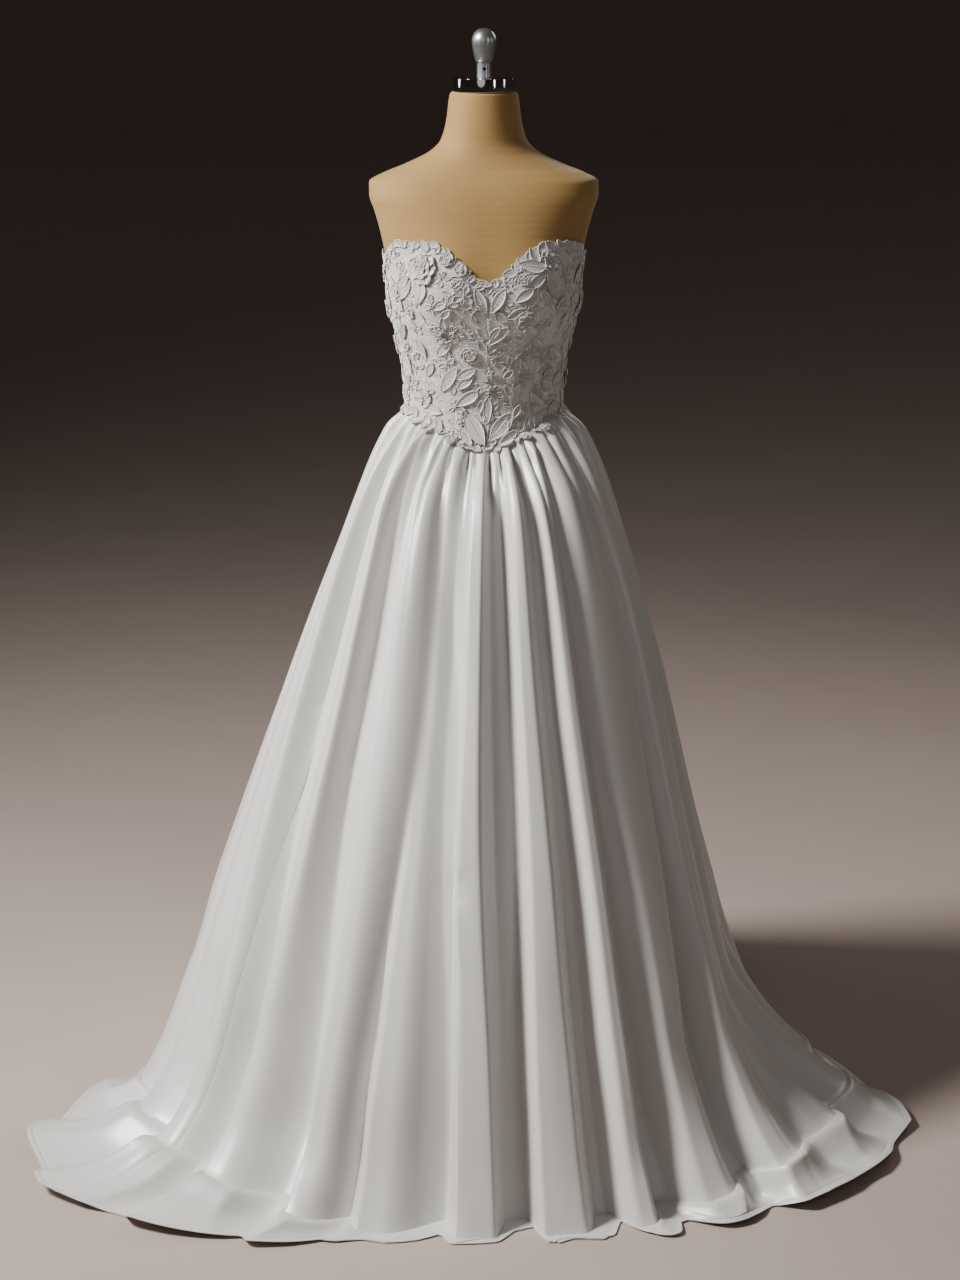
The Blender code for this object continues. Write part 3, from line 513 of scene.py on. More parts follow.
def gather_height(cloth, step, depth):
    """Uneven gathers under the basque seam: round tubes of cloth with a sharp valley between each two."""
    rng = np.random.default_rng(11)
    pitch = 360.0 / GATHER_COUNT
    valleys = -180.0 + pitch * (np.arange(GATHER_COUNT) + rng.uniform(-0.26, 0.26, GATHER_COUNT))
    valleys = np.concatenate((valleys[-1:] - 360.0, valleys, valleys[:1] + 360.0))
    heights = depth * rng.uniform(0.45, 1.25, GATHER_COUNT + 1)
    lengths = rng.uniform(0.13, 0.42, GATHER_COUNT + 1)
    crests = rng.uniform(0.030, 0.062, GATHER_COUNT + 1)
    lean = 5.0 * drift(cloth / 30.0, np.zeros_like(cloth), 15) * step
    place = around(cloth - lean)
    cell = np.clip(np.searchsorted(valleys, place, side="right") - 1, 0, GATHER_COUNT)
    middle = (valleys[cell] + valleys[cell + 1]) / 2.0
    half = (valleys[cell + 1] - valleys[cell]) / 2.0
    away = np.abs(place - middle) / half
    size = smooth_step(step / crests[cell]) * (1.0 - smooth_step((step - crests[cell]) / lengths[cell]))
    tube = heights[cell] * size * (1.0 - np.abs(away) ** 2.4)
    pit = np.exp(-(((1.0 - away) * half / 1.1) ** 2)) * np.exp(-(((step - 0.040) / 0.026) ** 2))
    return tube - 0.55 * depth * pit


def skirt_relief(cloth, step, depth):
    """What stands out from the skirt's plain form: folds, gathers, dents and the drift of the cloth."""
    hanging = ease_through((0.0, 0.05, 0.20, 0.80, 1.1, 2.0), (0.0, 0.3, 1.0, 1.0, 0.6, 0.4), step)
    relief = fold_height(cloth, step) + gather_height(cloth, step, depth)
    relief = relief + 0.0030 * hanging * drift(cloth / 9.0, step * 0.9, 3)
    relief = relief + 0.0008 * hanging * drift(cloth / 5.0, step * 2.6, 5)
    pooled = smooth_step((step - 0.94) / 0.30)
    crease = 1.0 - np.abs(drift(cloth / 10.0, step * 0.7, 21))
    relief = relief + 0.0130 * pooled * (np.maximum(crease, 0.0) ** 1.5 - 0.5)
    relief = relief + 0.0035 * pooled * drift(cloth / 9.0 - step * 0.8, step * 1.6, 27)
    for middle, place, across, along, height, slant in SKIRT_DENTS:
        beside = around(cloth - middle - slant * (step - place)) / across
        above = (step - place) / along
        relief = relief + height * np.exp(-0.5 * (beside * beside + above * above))
    return relief


def skirt_profile(azimuth, step):
    """Reach, height and lay of the skirt inside its folds."""
    azimuth = around(azimuth)
    reaches = [np.interp(azimuth, column(SKIRT_PROFILES, 0), column(SKIRT_PROFILES, i))
               for i in range(1, 9)]
    lay = reaches.pop()
    seam_z = bodice_edge(azimuth, BASQUE_SEAM) - SEAM_GAP
    seam_reach = torso_reach(azimuth, seam_z) - BODICE_WALL
    level = np.ones_like(azimuth)
    reach = np.stack([seam_reach, seam_reach + 0.016] + reaches)
    height = np.stack([seam_z, seam_z - 0.030] + [level * z for z in SKIRT_HEIGHTS + (0.0, 0.0)])
    return ease_through(PROFILE_KNOTS, reach, step), ease_through(PROFILE_KNOTS, height, step), lay


def skirt_surface(cloth, step, depth):
    """Points on the outside of the skirt."""
    azimuth = fold_azimuth(cloth, step)
    reach, height, lay = skirt_profile(azimuth, step)
    nudge = 0.01
    above = skirt_profile(azimuth, np.maximum(0.0, step - nudge))
    below = skirt_profile(azimuth, np.minimum(2.0, step + nudge))
    run = below[0] - above[0]
    drop = above[1] - below[1]
    rise = run / np.hypot(run, drop) * smooth_step(step / 0.05)
    relief = skirt_relief(cloth, step, depth)
    down = lay * smooth_step((step - 0.85) / 0.5)
    reach = reach + relief * (1.0 - 0.45 * down)
    ahead = smooth_step((np.cos(np.radians(azimuth)) - 0.3) / 0.5)
    reach = reach + (FRONT_EASE * ahead - SIDE_EASE * (1.0 - ahead)) * smooth_step((step - 0.75) / 0.5)
    height = height + np.maximum(relief, 0.0) * down * (0.90 - 0.45 * smooth_step(step - 1.0))
    height = height + 0.040 * lay * np.exp(-(((step - 1.06) / 0.20) ** 2))
    outer = at_reach(azimuth, reach + np.sqrt(1.0 - rise * rise) * SKIRT_WALL, height)
    outer[..., 2] += rise * SKIRT_WALL
    return outer


def hem_steps(cloth, rows, hem_rows):
    """Steps of each row of points on each column of cloth; the last rows keep their distance to the hem."""
    end = np.full_like(cloth, 2.0)
    near = np.full_like(cloth, 1.6)
    gap = skirt_surface(cloth, end, 0.0) - skirt_surface(cloth, near, 0.0)
    length = np.maximum(np.linalg.norm(gap, axis=-1) / 0.4, hem_rows[0] / 0.75)
    last = 2.0 - hem_rows[0] / length
    steps = [np.full_like(cloth, step) for step in rows if step <= 1.1]
    for step in rows[(rows > 1.1) & (rows < 2.0)]:
        steps.append(1.1 + (last - 1.1) * (step - 1.1) / 0.9)
    steps.extend(2.0 - distance / length for distance in hem_rows)
    return np.stack(steps)


def grid_faces(rows, columns):
    """Faces between a grid's points, turned outwards."""
    start = (np.arange(rows - 1)[:, None] * columns + np.arange(columns - 1)[None, :]).reshape(-1)
    return np.stack((start, start + 1, start + columns + 1, start + columns), axis=1)


def mesh_object(name, parts):
    """An object made of parts, each with its points, its four-sided faces and its flat coordinates."""
    points = []
    faces = []
    flats = []
    count = 0
    for part_points, part_faces, part_flat in parts:
        part_points = part_points.reshape(-1, 3)
        points.append(part_points)
        faces.append(part_faces + count)
        flats.append(part_flat.reshape(-1, 2))
        count += len(part_points)
    points = np.concatenate(points)
    faces = np.concatenate(faces)
    flat = np.concatenate(flats)
    mesh = bpy.data.meshes.new(name)
    mesh.vertices.add(len(points))
    mesh.vertices.foreach_set("co", points.astype(np.float32).reshape(-1))
    mesh.loops.add(faces.size)
    mesh.loops.foreach_set("vertex_index", faces.reshape(-1).astype(np.int32))
    mesh.polygons.add(len(faces))
    mesh.polygons.foreach_set("loop_start", np.arange(0, faces.size, 4, dtype=np.int32))
    mesh.polygons.foreach_set("loop_total", np.full(len(faces), 4, dtype=np.int32))
    layer = mesh.uv_layers.new(name="flat")
    layer.data.foreach_set("uv", flat[faces.reshape(-1)].astype(np.float32).reshape(-1))
    mesh.update(calc_edges=True)
    mesh.validate()
    obj = bpy.data.objects.new(name, mesh)
    bpy.context.scene.collection.objects.link(obj)
    return obj


def select_only(obj):
    """Make an object the only one selected, and the active one."""
    for other in bpy.context.selected_objects:
        other.select_set(False)
    bpy.context.view_layer.objects.active = obj
    obj.select_set(True)


def apply_modifier(obj, kind, **settings):
    """Add a modifier with its settings and apply it."""
    select_only(obj)
    modifier = obj.modifiers.new(kind.lower(), kind)
    for name, value in settings.items():
        setattr(modifier, name, value)
    bpy.ops.object.modifier_apply(modifier=modifier.name)


def draw_ring(extrude, radius, height, next_radius, next_height):
    """Extrude the selected ring up to the next height, and resize it to the next radius."""
    extrude(TRANSFORM_OT_translate={"value": (0.0, 0.0, next_height - height)})
    share = next_radius / radius
    bpy.ops.transform.resize(value=(share, share, 1.0), center_override=(0.0, 0.0, next_height))


def dress_piece(obj, material, nodes=(), angle=45.0):
    """Finish a piece: its material, smooth shading, its place under the root, and hiding the imported nodes
    that it stands for.
    """
    select_only(obj)
    obj.data.materials.clear()
    obj.data.materials.append(material)
    bpy.ops.object.shade_smooth_by_angle(angle=math.radians(angle))
    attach(obj, "root")
    if nodes:
        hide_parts(*nodes)


def worn_point(azimuth, height):
    """Points over the worn bodice; below its seam they rest on the skirt's gathers."""
    seam = bodice_edge(azimuth, BASQUE_SEAM)
    below = np.maximum(seam - height, 0.0)
    flare = 0.0016 * smooth_step(below / 0.003) + 1.05 * below
    return at_reach(azimuth, torso_reach(azimuth, height) + flare, height)


def worn_facing(azimuth, height):
    """The way that the worn bodice faces."""
    beside = worn_point(azimuth + 0.3, height) - worn_point(azimuth - 0.3, height)
    above = worn_point(azimuth, height + 0.001) - worn_point(azimuth, height - 0.001)
    facing = np.cross(beside, above)
    return facing / np.linalg.norm(facing, axis=-1, keepdims=True)


class Place:
    """A place on the bodice, with the way that a motif there is turned."""

    def __init__(self, azimuth, height, turn=0.0, lift=0.0):
        self.azimuth = azimuth
        self.height = height
        self.turn = math.radians(turn)
        self.lift = lift
        beside = worn_point(azimuth + 0.5, height) - worn_point(azimuth - 0.5, height)
        above = worn_point(azimuth, height + 0.002) - worn_point(azimuth, height - 0.002)
        self.degrees = 1.0 / np.linalg.norm(beside)
        self.rise = 0.004 / np.linalg.norm(above)

    def lay(self, local):
        """Lay local points (across, along, out) on the bodice; also gives the way each one faces."""
        cosine, sine = math.cos(self.turn), math.sin(self.turn)
        across = local[..., 0] * cosine + local[..., 1] * sine
        along = local[..., 1] * cosine - local[..., 0] * sine
        azimuth = self.azimuth + across * self.degrees
        height = self.height + along * self.rise
        facing = worn_facing(azimuth, height)
        out = local[..., 2] + self.lift
        return worn_point(azimuth, height) + facing * out[..., None], facing


def frond(length, width, start=0.0, broad=0.5, full=0.8, cup=0.0, curl=0.0, rise=0.0, ruffle=0.0,
          phase=0.0, rows=10, columns=6):
    """A leaf or petal: a grid of local points, from its base at start to its tip."""
    v = np.linspace(0.0, 1.0, rows + 1)[:, None] * np.ones(columns + 1)
    u = np.linspace(-1.0, 1.0, columns + 1)[None, :] * np.ones((rows + 1, 1))
    shape = np.sin(math.pi * v ** (math.log(0.5) / math.log(broad))).clip(0.0, 1.0) ** full
    across = u * width / 2.0 * np.maximum(shape, 0.04)
    along = start + v * length
    out = cup * u * u * shape + curl * v ** 3 + rise * v
    out = out + ruffle * np.sin(5.0 * u + 3.0 * v + phase) * v * (0.3 + 0.7 * np.abs(u))
    out = out - 0.0005 * np.exp(-(u / 0.2) ** 2) * shape
    return np.stack((across, along, out), axis=-1), np.stack((u, v), axis=-1)


def rim_of(grid):
    """The outline of a grid of points, from its base up one side, over its tip and back."""
    return np.concatenate((grid[:, 0], grid[-1, 1:-1], grid[::-1, -1], grid[0, -2:0:-1]))


def cord(path, outward, radius, sides=4, closed=False):
    """A round cord along a path, tapered to its ends unless it is closed."""
    count = len(path)
    if closed:
        tangent = np.roll(path, -1, axis=0) - np.roll(path, 1, axis=0)
    else:
        tangent = np.gradient(path, axis=0)
    tangent = tangent / np.maximum(np.linalg.norm(tangent, axis=1, keepdims=True), 1e-9)
    side = np.cross(tangent, outward)
    side = side / np.maximum(np.linalg.norm(side, axis=1, keepdims=True), 1e-9)
    upward = np.cross(side, tangent)
    thickness = np.broadcast_to(radius, (count,)).copy()
    if not closed:
        thickness[[0, -1]] *= 0.35
    turn = np.arange(sides) * 2.0 * math.pi / sides
    ring = upward[:, None] * np.cos(turn)[None, :, None] + side[:, None] * np.sin(turn)[None, :, None]
    points = path[:, None] + ring * thickness[:, None, None]
    faces = []
    for i in range(count if closed else count - 1):
        k = (i + 1) % count
        for j in range(sides):
            m = (j + 1) % sides
            faces.append((i * sides + j, i * sides + m, k * sides + m, k * sides + j))
    if not closed:
        last = (count - 1) * sides
        for j in range(1, sides // 2):
            faces.append((0, 2 * j + 1, 2 * j, 2 * j - 1))
            faces.append((last, last + 2 * j - 1, last + 2 * j, last + 2 * j + 1))
    length = np.cumsum(np.concatenate(([0.0], np.linalg.norm(np.diff(path, axis=0), axis=1))))
    flat = np.stack(np.broadcast_arrays(np.arange(sides)[None, :] / sides, length[:, None]), axis=-1)
    return points, np.array(faces), flat


def smooth_path(places, spacing):
    """Azimuths and heights along a smooth line through a few places."""
    places = np.array(places, float)
    knots = np.arange(len(places))
    steps = np.diff(places, axis=0) * (0.0022, 1.0)
    length = np.linalg.norm(steps, axis=1).sum()
    at = np.linspace(0.0, len(places) - 1.0, max(6, int(length / spacing)))
    return ease_through(knots, places[:, 0], at), ease_through(knots, places[:, 1], at)


class Lace:
    """Gathers the parts of the lace: petals and leaves, corded rims, and beads."""

    def __init__(self, sizes, bead):
        self.sizes = sizes
        self.bead_points, self.bead_faces = bead
        self.leaves = []
        self.petals = []
        self.cords = []
        self.beads = []

    def add_frond(self, kept, place, local, flat, rim=True, rib=False):
        """One leaf or petal with its corded rim and rib."""
        rows, columns = local.shape[:2]
        points, facing = place.lay(local)
        kept.append((points, grid_faces(rows, columns), flat))
        radius = self.sizes.cord_width / 2.0
        if rim:
            path = rim_of(points) + rim_of(facing) * radius * 0.5
            self.cords.append(cord(path, rim_of(facing), radius, sides=3, closed=True))
        if rib:
            middle = columns // 2
            path = points[1:-1, middle] + facing[1:-1, middle] * radius * 0.3
            self.cords.append(cord(path, facing[1:-1, middle], radius * 0.8))

    def add_bead(self, place, across, along, out, radius):
        """One bead, a third of it sunk in the cloth."""
        local = np.array((across, along, out + radius * 0.4))
        point, _ = place.lay(local)
        flat = np.zeros((len(self.bead_points), 2))
        self.beads.append((self.bead_points * radius + point, self.bead_faces, flat))

    def add_leaf(self, azimuth, height, length, width, turn, lift, seed):
        """A pointed leaf, its edges and its tip off the bodice."""
        rng = np.random.default_rng(seed)
        place = Place(azimuth, height, turn, lift)
        large = length > 0.024
        local, flat = frond(
            length, width, start=-length / 2.0, broad=rng.uniform(0.40, 0.50), full=0.80,
            cup=width * rng.uniform(0.03, 0.09), curl=length * rng.uniform(0.0, 0.05),
            ruffle=0.0004, phase=rng.uniform(0.0, 6.0), rows=9 if large else 6,
            columns=6 if large else 4)
        self.add_frond(self.leaves, place, local, flat, rib=large)
        if length > 0.03:
            for j in range(5):
                along = length * (-0.30 + 0.14 * j)
                self.add_bead(place, 0.0007, along, 0.0009, self.sizes.bead_size / 3.0)

    def add_spray(self, azimuth, height, radius, count, lift, seed):
        """A flat flower of pointed petals round one bead, worked into the lace."""
        rng = np.random.default_rng(seed)
        first = rng.uniform(0.0, 360.0)
        for number in range(count):
            turn = first + 360.0 / count * number + rng.uniform(-13.0, 13.0)
            place = Place(azimuth, height, turn, lift + 0.0003 * (number % 3))
            length = radius * rng.uniform(0.66, 1.12)
            local, flat = frond(
                length, length * rng.uniform(0.36, 0.54), start=radius * 0.07,
                broad=rng.uniform(0.50, 0.64), full=0.80, cup=length * rng.uniform(0.01, 0.05),
                curl=length * rng.uniform(0.0, 0.08), ruffle=0.0004, phase=rng.uniform(0.0, 6.0),
                rows=6, columns=4)
            self.add_frond(self.leaves, place, local, flat)
        heart = Place(azimuth, height, 0.0, lift + 0.0006)
        self.add_bead(heart, 0.0, 0.0, 0.0008, self.sizes.bead_size / 2.2)
        for angle in rng.uniform(0.0, 2.0 * math.pi, 3):
            away = radius * rng.uniform(0.30, 0.85)
            self.add_bead(heart, away * math.cos(angle), away * math.sin(angle), 0.0006,
                          self.sizes.bead_size / 3.2)

    def add_tendril(self, azimuth, height, radius, seed):
        """A curl of cord that winds in on itself."""
        rng = np.random.default_rng(seed)
        place = Place(azimuth, height, rng.uniform(0.0, 360.0))
        share = np.linspace(0.0, 1.0, 10)
        angle = rng.choice((-1.0, 1.0)) * share * math.radians(rng.uniform(230.0, 400.0))
        away = radius * (1.0 - 0.72 * share)
        local = np.stack((away * np.cos(angle), away * np.sin(angle), 0.0007 + 0.0 * share), axis=-1)
        points, facing = place.lay(local)
        self.cords.append(cord(points, facing, self.sizes.cord_width * 0.5))

    def add_blossom(self, azimuth, height, radius, petals, layers, rise, lift, seed, fine=True):
        """A blossom of cupped petals with beads at its heart."""
        rng = np.random.default_rng(seed)
        first = rng.uniform(0.0, 360.0)
        for layer in range(layers):
            reach = radius * (1.0 - 0.33 * layer)
            height_rise = reach * (rise * (0.25 + 0.60 * layer))
            for number in range(petals):
                turn = first + 360.0 / petals * (number + 0.5 * layer) + rng.uniform(-7.0, 7.0)
                place = Place(azimuth, height, turn, lift + 0.0006 * layer + 0.0003 * (number % 2))
                length = reach * rng.uniform(0.88, 1.04)
                width = 2.0 * reach * math.sin(math.pi / petals) * rng.uniform(0.82, 1.04)
                local, flat = frond(
                    length * 0.92, width, start=length * 0.08, broad=0.62, full=0.70,
                    cup=reach * rng.uniform(0.02, 0.13), rise=height_rise,
                    curl=-height_rise * rng.uniform(0.10, 0.60), ruffle=reach * 0.050,
                    phase=rng.uniform(0.0, 6.0), rows=8 if fine else 6, columns=6 if fine else 4)
                self.add_frond(self.petals, place, local, flat, rim=fine or layer == 0)
        heart = Place(azimuth, height, 0.0, lift + 0.0012)
        bead = self.sizes.bead_size / 2.0
        self.add_bead(heart, 0.0, 0.0, 0.0008, bead * 1.25)
        count = 5 if radius < 0.012 else 8
        for j in range(count):
            angle = 2.0 * math.pi * (j + rng.uniform(-0.2, 0.2)) / count
            away = radius * rng.uniform(0.13, 0.24) + bead
            self.add_bead(heart, away * math.cos(angle), away * math.sin(angle), 0.0008, bead)
        if radius > 0.012:
            for j in range(9):
                angle = 2.0 * math.pi * (j + rng.uniform(-0.2, 0.2)) / 9
                away = radius * rng.uniform(0.36, 0.62)
                out = rise * radius * 0.35
                self.add_bead(heart, away * math.cos(angle), away * math.sin(angle), out, bead * 0.6)

    def add_stem(self, places, radius, lift=0.0010):
        """A stem of chain stitch: a cord that swells at every stitch."""
        azimuth, height = smooth_path(places, self.sizes.chain_stitch / 3.0)
        facing = worn_facing(azimuth, height)
        path = worn_point(azimuth, height) + facing * lift
        swell = 1.0 + 0.35 * np.cos(np.arange(len(path)) * 2.0 * math.pi / 3.0)
        self.cords.append(cord(path, facing, radius * swell))


def edge_turn(azimuth, index):
    """How far the bodice's edge leans at an azimuth, in degrees."""
    low = worn_point(azimuth - 1.0, bodice_edge(azimuth - 1.0, index))
    high = worn_point(azimuth + 1.0, bodice_edge(azimuth + 1.0, index))
    gap = high - low
    return -math.degrees(math.atan2(gap[2], math.hypot(gap[0], gap[1])))


def scattered_places(count, spacing, kept_clear, seed, inset, away_from=()):
    """Places spread evenly over the bodice, clear of others and of its edges."""
    rng = np.random.default_rng(seed)
    found = []
    taken = [(azimuth, height, spacing) for azimuth, height in away_from]
    for _ in range(count * 30):
        if len(found) >= count:
            break
        azimuth = rng.uniform(-180.0, 180.0)
        share = rng.uniform(0.0, 1.0)
        if kept_clear(azimuth):
            continue
        top = float(bodice_edge(azimuth, TOP_EDGE)) - inset
        low = float(bodice_edge(azimuth, BASQUE_SEAM)) + inset
        height = low + (top - low) * share
        reach = float(torso_reach(azimuth, height))
        clear = all(
            math.hypot(math.radians(float(around(azimuth - other))) * reach, height - level) > room
            for other, level, room in taken
        )
        if clear:
            found.append((azimuth, height))
            taken.append((azimuth, height, spacing))
    return found


def linear(code, alpha=1.0):
    """A colour from its sRGB hex code."""
    parts = [int(code[i:i + 2], 16) / 255.0 for i in (1, 3, 5)]
    return [p / 12.92 if p <= 0.04045 else ((p + 0.055) / 1.055) ** 2.4 for p in parts] + [alpha]


def add_node(material, kind, values=None, links=None):
    """Add a shader node with its settings, its sockets' values and its links."""
    tree = material.node_tree
    node = tree.nodes.new("ShaderNode" + kind)
    for name, value in (values or {}).items():
        if isinstance(name, int) or name in node.inputs:
            node.inputs[name].default_value = value
        else:
            setattr(node, name, value)
    for name, source in (links or {}).items():
        tree.links.new(source, node.inputs[name])
    return node


def new_material(name, settings):
    """A material with constant settings on its Principled shader."""
    material = bpy.data.materials.new(name)
    material.use_nodes = True
    shader = material.node_tree.nodes["Principled BSDF"]
    for socket, value in settings.items():
        shader.inputs[socket].default_value = value
    return material, shader


def link_shader(shader, sources):
    """Link sockets to the shader's inputs of these names."""
    for name, source in sources.items():
        shader.id_data.links.new(source, shader.inputs[name])


def coordinates(material):
    """The piece's Object coordinates and its own flat ones."""
    place = add_node(material, "TexCoord")
    return place.outputs["Object"], place.outputs["UV"]


def bands(material, vector, direction, spacing, distortion=0.0, detail=1.0, detail_scale=1.0):
    """Bands that are this far apart, in metres."""
    return add_node(material, "TexWave", {
        "bands_direction": direction, "Scale": math.pi / (10.0 * spacing), "Distortion": distortion,
        "Detail": detail, "Detail Scale": detail_scale}, {"Vector": vector}).outputs["Fac"]


def noise(material, vector, scale, detail, roughness=0.5):
    """Soft noise."""
    return add_node(material, "TexNoise", {"Scale": scale, "Detail": detail, "Roughness": roughness},
                    {"Vector": vector}).outputs["Fac"]


def outlines(material, vector, width):
    """Distance to the outlines of cells of this width, in metres."""
    return add_node(material, "TexVoronoi", {"feature": "DISTANCE_TO_EDGE", "Scale": 1.0 / width},
                    {"Vector": vector}).outputs["Distance"]


def remap(material, value, low, high, start, end):
    """A value brought from the range low to high into the range start to end."""
    return add_node(material, "MapRange", {
        "From Min": low, "From Max": high, "To Min": start, "To Max": end},
        {"Value": value}).outputs["Result"]


def larger(material, one, other):
    """The larger of two values."""
    return add_node(material, "Math", {"operation": "MAXIMUM"}, {0: one, 1: other}).outputs["Value"]


def relief(material, height, strength, distance, under=None):
    """Relief from a value, laid over the relief under it."""
    links = {"Height": height}
    if under is not None:
        links["Normal"] = under
    return add_node(material, "Bump", {"Strength": strength, "Distance": distance},
                    links).outputs["Normal"]


def two_tone(material, first, second, factor):
    """A mix of two colours by a socket."""
    return add_node(material, "Mix", {"data_type": "RGBA", 6: first[:], 7: second[:]},
                    {"Factor": factor}).outputs[2]


def satin_material(colours):
    """Heavy duchess satin: floating warp threads give a broad soft gloss, with the least weave."""
    material, shader = new_material("woven_satin", {
        "Roughness": 0.38, "Specular IOR Level": 0.9, "Sheen Weight": 0.10, "Sheen Roughness": 0.35,
        "Coat Weight": 0.12, "Coat Roughness": 0.28})
    solid, flat = coordinates(material)
    # Threads are 0.15 mm apart in such satin and are drawn 1.1 mm apart, so that they show
    warp = bands(material, flat, "X", 0.0011, 0.6)
    weft = bands(material, flat, "Y", 0.0016, 0.8)
    slub = noise(material, solid, 420.0, 3.0)
    cloudy = noise(material, solid, 5.0, 2.0)
    weave = relief(material, warp, 0.10, 0.0002)
    weave = relief(material, weft, 0.06, 0.0002, weave)
    link_shader(shader, {
        "Base Color": two_tone(material, colours.satin, colours.satin_shade, cloudy),
        "Roughness": remap(material, cloudy, 0.0, 1.0, 0.34, 0.42),
        "Normal": relief(material, slub, 0.10, 0.0003, weave)})
    return material


def lace_ground_material(colours):
    """Embroidered tulle over satin: a net of fine cells, with sprigs of thread worked all over it. The
    ground between the threads shows the cloth through the net and is painted darker, partly as painted
    shade.
    """
    material, shader = new_material("embroidered_tulle", {
        "Roughness": 0.40, "Specular IOR Level": 0.7, "Sheen Weight": 0.10, "Sheen Roughness": 0.4})
    solid, _ = coordinates(material)
    # The net's cells are 1.2 mm wide and are drawn 2.0 mm wide, so that they show
    net = remap(material, outlines(material, solid, 0.0020), 0.03, 0.14, 0.30, 0.0)
    bent = add_node(material, "TexNoise", {"Scale": 75.0, "Detail": 2.0}, {"Vector": solid})
    shift = add_node(material, "VectorMath", {"operation": "MULTIPLY_ADD", 1: (0.016, 0.016, 0.016)},
                     {0: bent.outputs["Color"], 2: solid}).outputs["Vector"]
    # Outlines of worked thread run round cells about 9 mm wide, and round finer ones of 4 mm
    bold = remap(material, outlines(material, shift, 0.009), 0.02, 0.07, 1.0, 0.0)
    light = remap(material, outlines(material, shift, 0.004), 0.03, 0.09, 0.6, 0.0)
    # Filled petals of satin stitch about 11 mm across lie between the outlines
    petal = add_node(material, "TexVoronoi", {
        "feature": "SMOOTH_F1", "Scale": 1.0 / 0.011, "Smoothness": 0.2}, {"Vector": shift})
    filled = remap(material, petal.outputs["Distance"], 0.22, 0.30, 0.5, 0.0)
    raised = larger(material, larger(material, bold, light), filled)
    worked = relief(material, raised, 0.9, 0.0008)
    # Painted shade: wherever there is no raised thread or net the colour is darker, for the cloth seen
    # through the net and for shade between the threads
    link_shader(shader, {
        "Base Color": two_tone(material, colours.lace_ground_and_shade, colours.lace,
                               larger(material, raised, net)),
        "Normal": relief(material, net, 0.4, 0.0003, worked)})
    return material


def petal_material(colours):
    """Embroidered organza: sheer between its veins, and close white satin stitch along its edge. The sheer
    parts are painted darker, partly as painted shade beside the bright stitching.
    """
    material, shader = new_material("embroidered_organza", {
        "Roughness": 0.38, "Specular IOR Level": 0.7, "Sheen Weight": 0.10, "Sheen Roughness": 0.4})
    solid, flat = coordinates(material)
    split = add_node(material, "SeparateXYZ", links={"Vector": flat})
    beside = add_node(material, "Math", {"operation": "ABSOLUTE"},
                      {0: split.outputs["X"]}).outputs["Value"]
    slope = add_node(material, "Math", {"operation": "MULTIPLY_ADD", 1: -0.42},
                     {0: beside, 2: split.outputs["Y"]})
    side_vein = add_node(material, "Math", {"operation": "PINGPONG", 1: 0.075},
                         {0: slope.outputs["Value"]})
    vein = remap(material, side_vein.outputs["Value"], 0.006, 0.022, 0.75, 0.0)
    rib = remap(material, beside, 0.04, 0.10, 1.0, 0.0)
    edge = remap(material, beside, 0.78, 0.88, 0.0, 1.0)
    worked = larger(material, larger(material, vein, rib), edge)
    grain = noise(material, solid, 1100.0, 2.0)
    stitched = relief(material, worked, 0.8, 0.0010)
    # Painted shade: the organza between the veins, rib and edge is darker, partly for its sheerness and
    # partly as painted shade
    link_shader(shader, {
        "Base Color": two_tone(material, colours.sheer_fill_and_shade, colours.lace, worked),
        "Normal": relief(material, grain, 0.25, 0.0002, stitched)})
    return material


def cord_material(colours):
    """Mercerised cotton cord: twisted, with a slight silky gloss, and painted shade in the grooves of its
    twist.
    """
    material, shader = new_material("cotton_cord", {
        "Roughness": 0.36, "Specular IOR Level": 0.8, "Sheen Weight": 0.15, "Sheen Roughness": 0.4})
    _, flat = coordinates(material)
    # The twist is 0.5 mm long and is drawn 1.2 mm long, so that it shows
    twist = bands(material, flat, "DIAGONAL", 0.0012)
    # Painted shade: the low parts of the twist take the darker sheer colour, as shade in the grooves
    # between the plies
    link_shader(shader, {
        "Base Color": two_tone(material, colours.sheer_fill_and_shade, colours.cord, twist),
        "Normal": relief(material, twist, 0.35, 0.0003)})
    return material


def pearl_material(colours):
    """Glass seed pearls: a lacquered coat over a soft lustre, with a painted sheen that turns the colour
    white towards the rims.
    """
    material, shader = new_material("glass_pearl", {
        "Roughness": 0.16, "Specular IOR Level": 1.0, "Coat Weight": 1.0, "Coat Roughness": 0.05})
    # Painted sheen: the colour whitens as the surface turns away from the view, towards each bead's rim
    facing = add_node(material, "LayerWeight", {"Blend": 0.35}).outputs["Facing"]
    link_shader(shader, {"Base Color": two_tone(material, colours.pearl, colours.lace, facing)})
    return material


def covering_material(colours):
    """Stretched cotton jersey on the dress form: matt, finely knitted, slightly clouded."""
    material, shader = new_material("cotton_jersey", {
        "Roughness": 0.72, "Sheen Weight": 0.18, "Sheen Roughness": 0.5})
    solid, _ = coordinates(material)
    # Courses of the knit are 0.7 mm apart and are drawn 1.5 mm apart, so that they show
    course = bands(material, solid, "Z", 0.0015, 0.5)
    wale = bands(material, solid, "X", 0.0015, 0.5)
    stretch = bands(material, solid, "Z", 0.011, 3.5, 2.0, 1.2)
    cloudy = noise(material, solid, 14.0, 4.0, 0.6)
    knit = relief(material, course, 0.12, 0.0002)
    knit = relief(material, wale, 0.10, 0.0002, knit)
    link_shader(shader, {
        "Base Color": two_tone(material, colours.covering, colours.covering_shade, cloudy),
        "Normal": relief(material, stretch, 0.12, 0.0008, knit)})
    return material


def chrome_material(colours):
    """Polished chromium plate on a turned steel cap, with the faintest marks of polishing."""
    material, shader = new_material("chromium_plate", {
        "Base Color": colours.chrome[:], "Metallic": 1.0, "Roughness": 0.07})
    solid, _ = coordinates(material)
    marks = noise(material, solid, 90.0, 5.0)
    link_shader(shader, {"Roughness": remap(material, marks, 0.0, 1.0, 0.04, 0.12)})
    return material


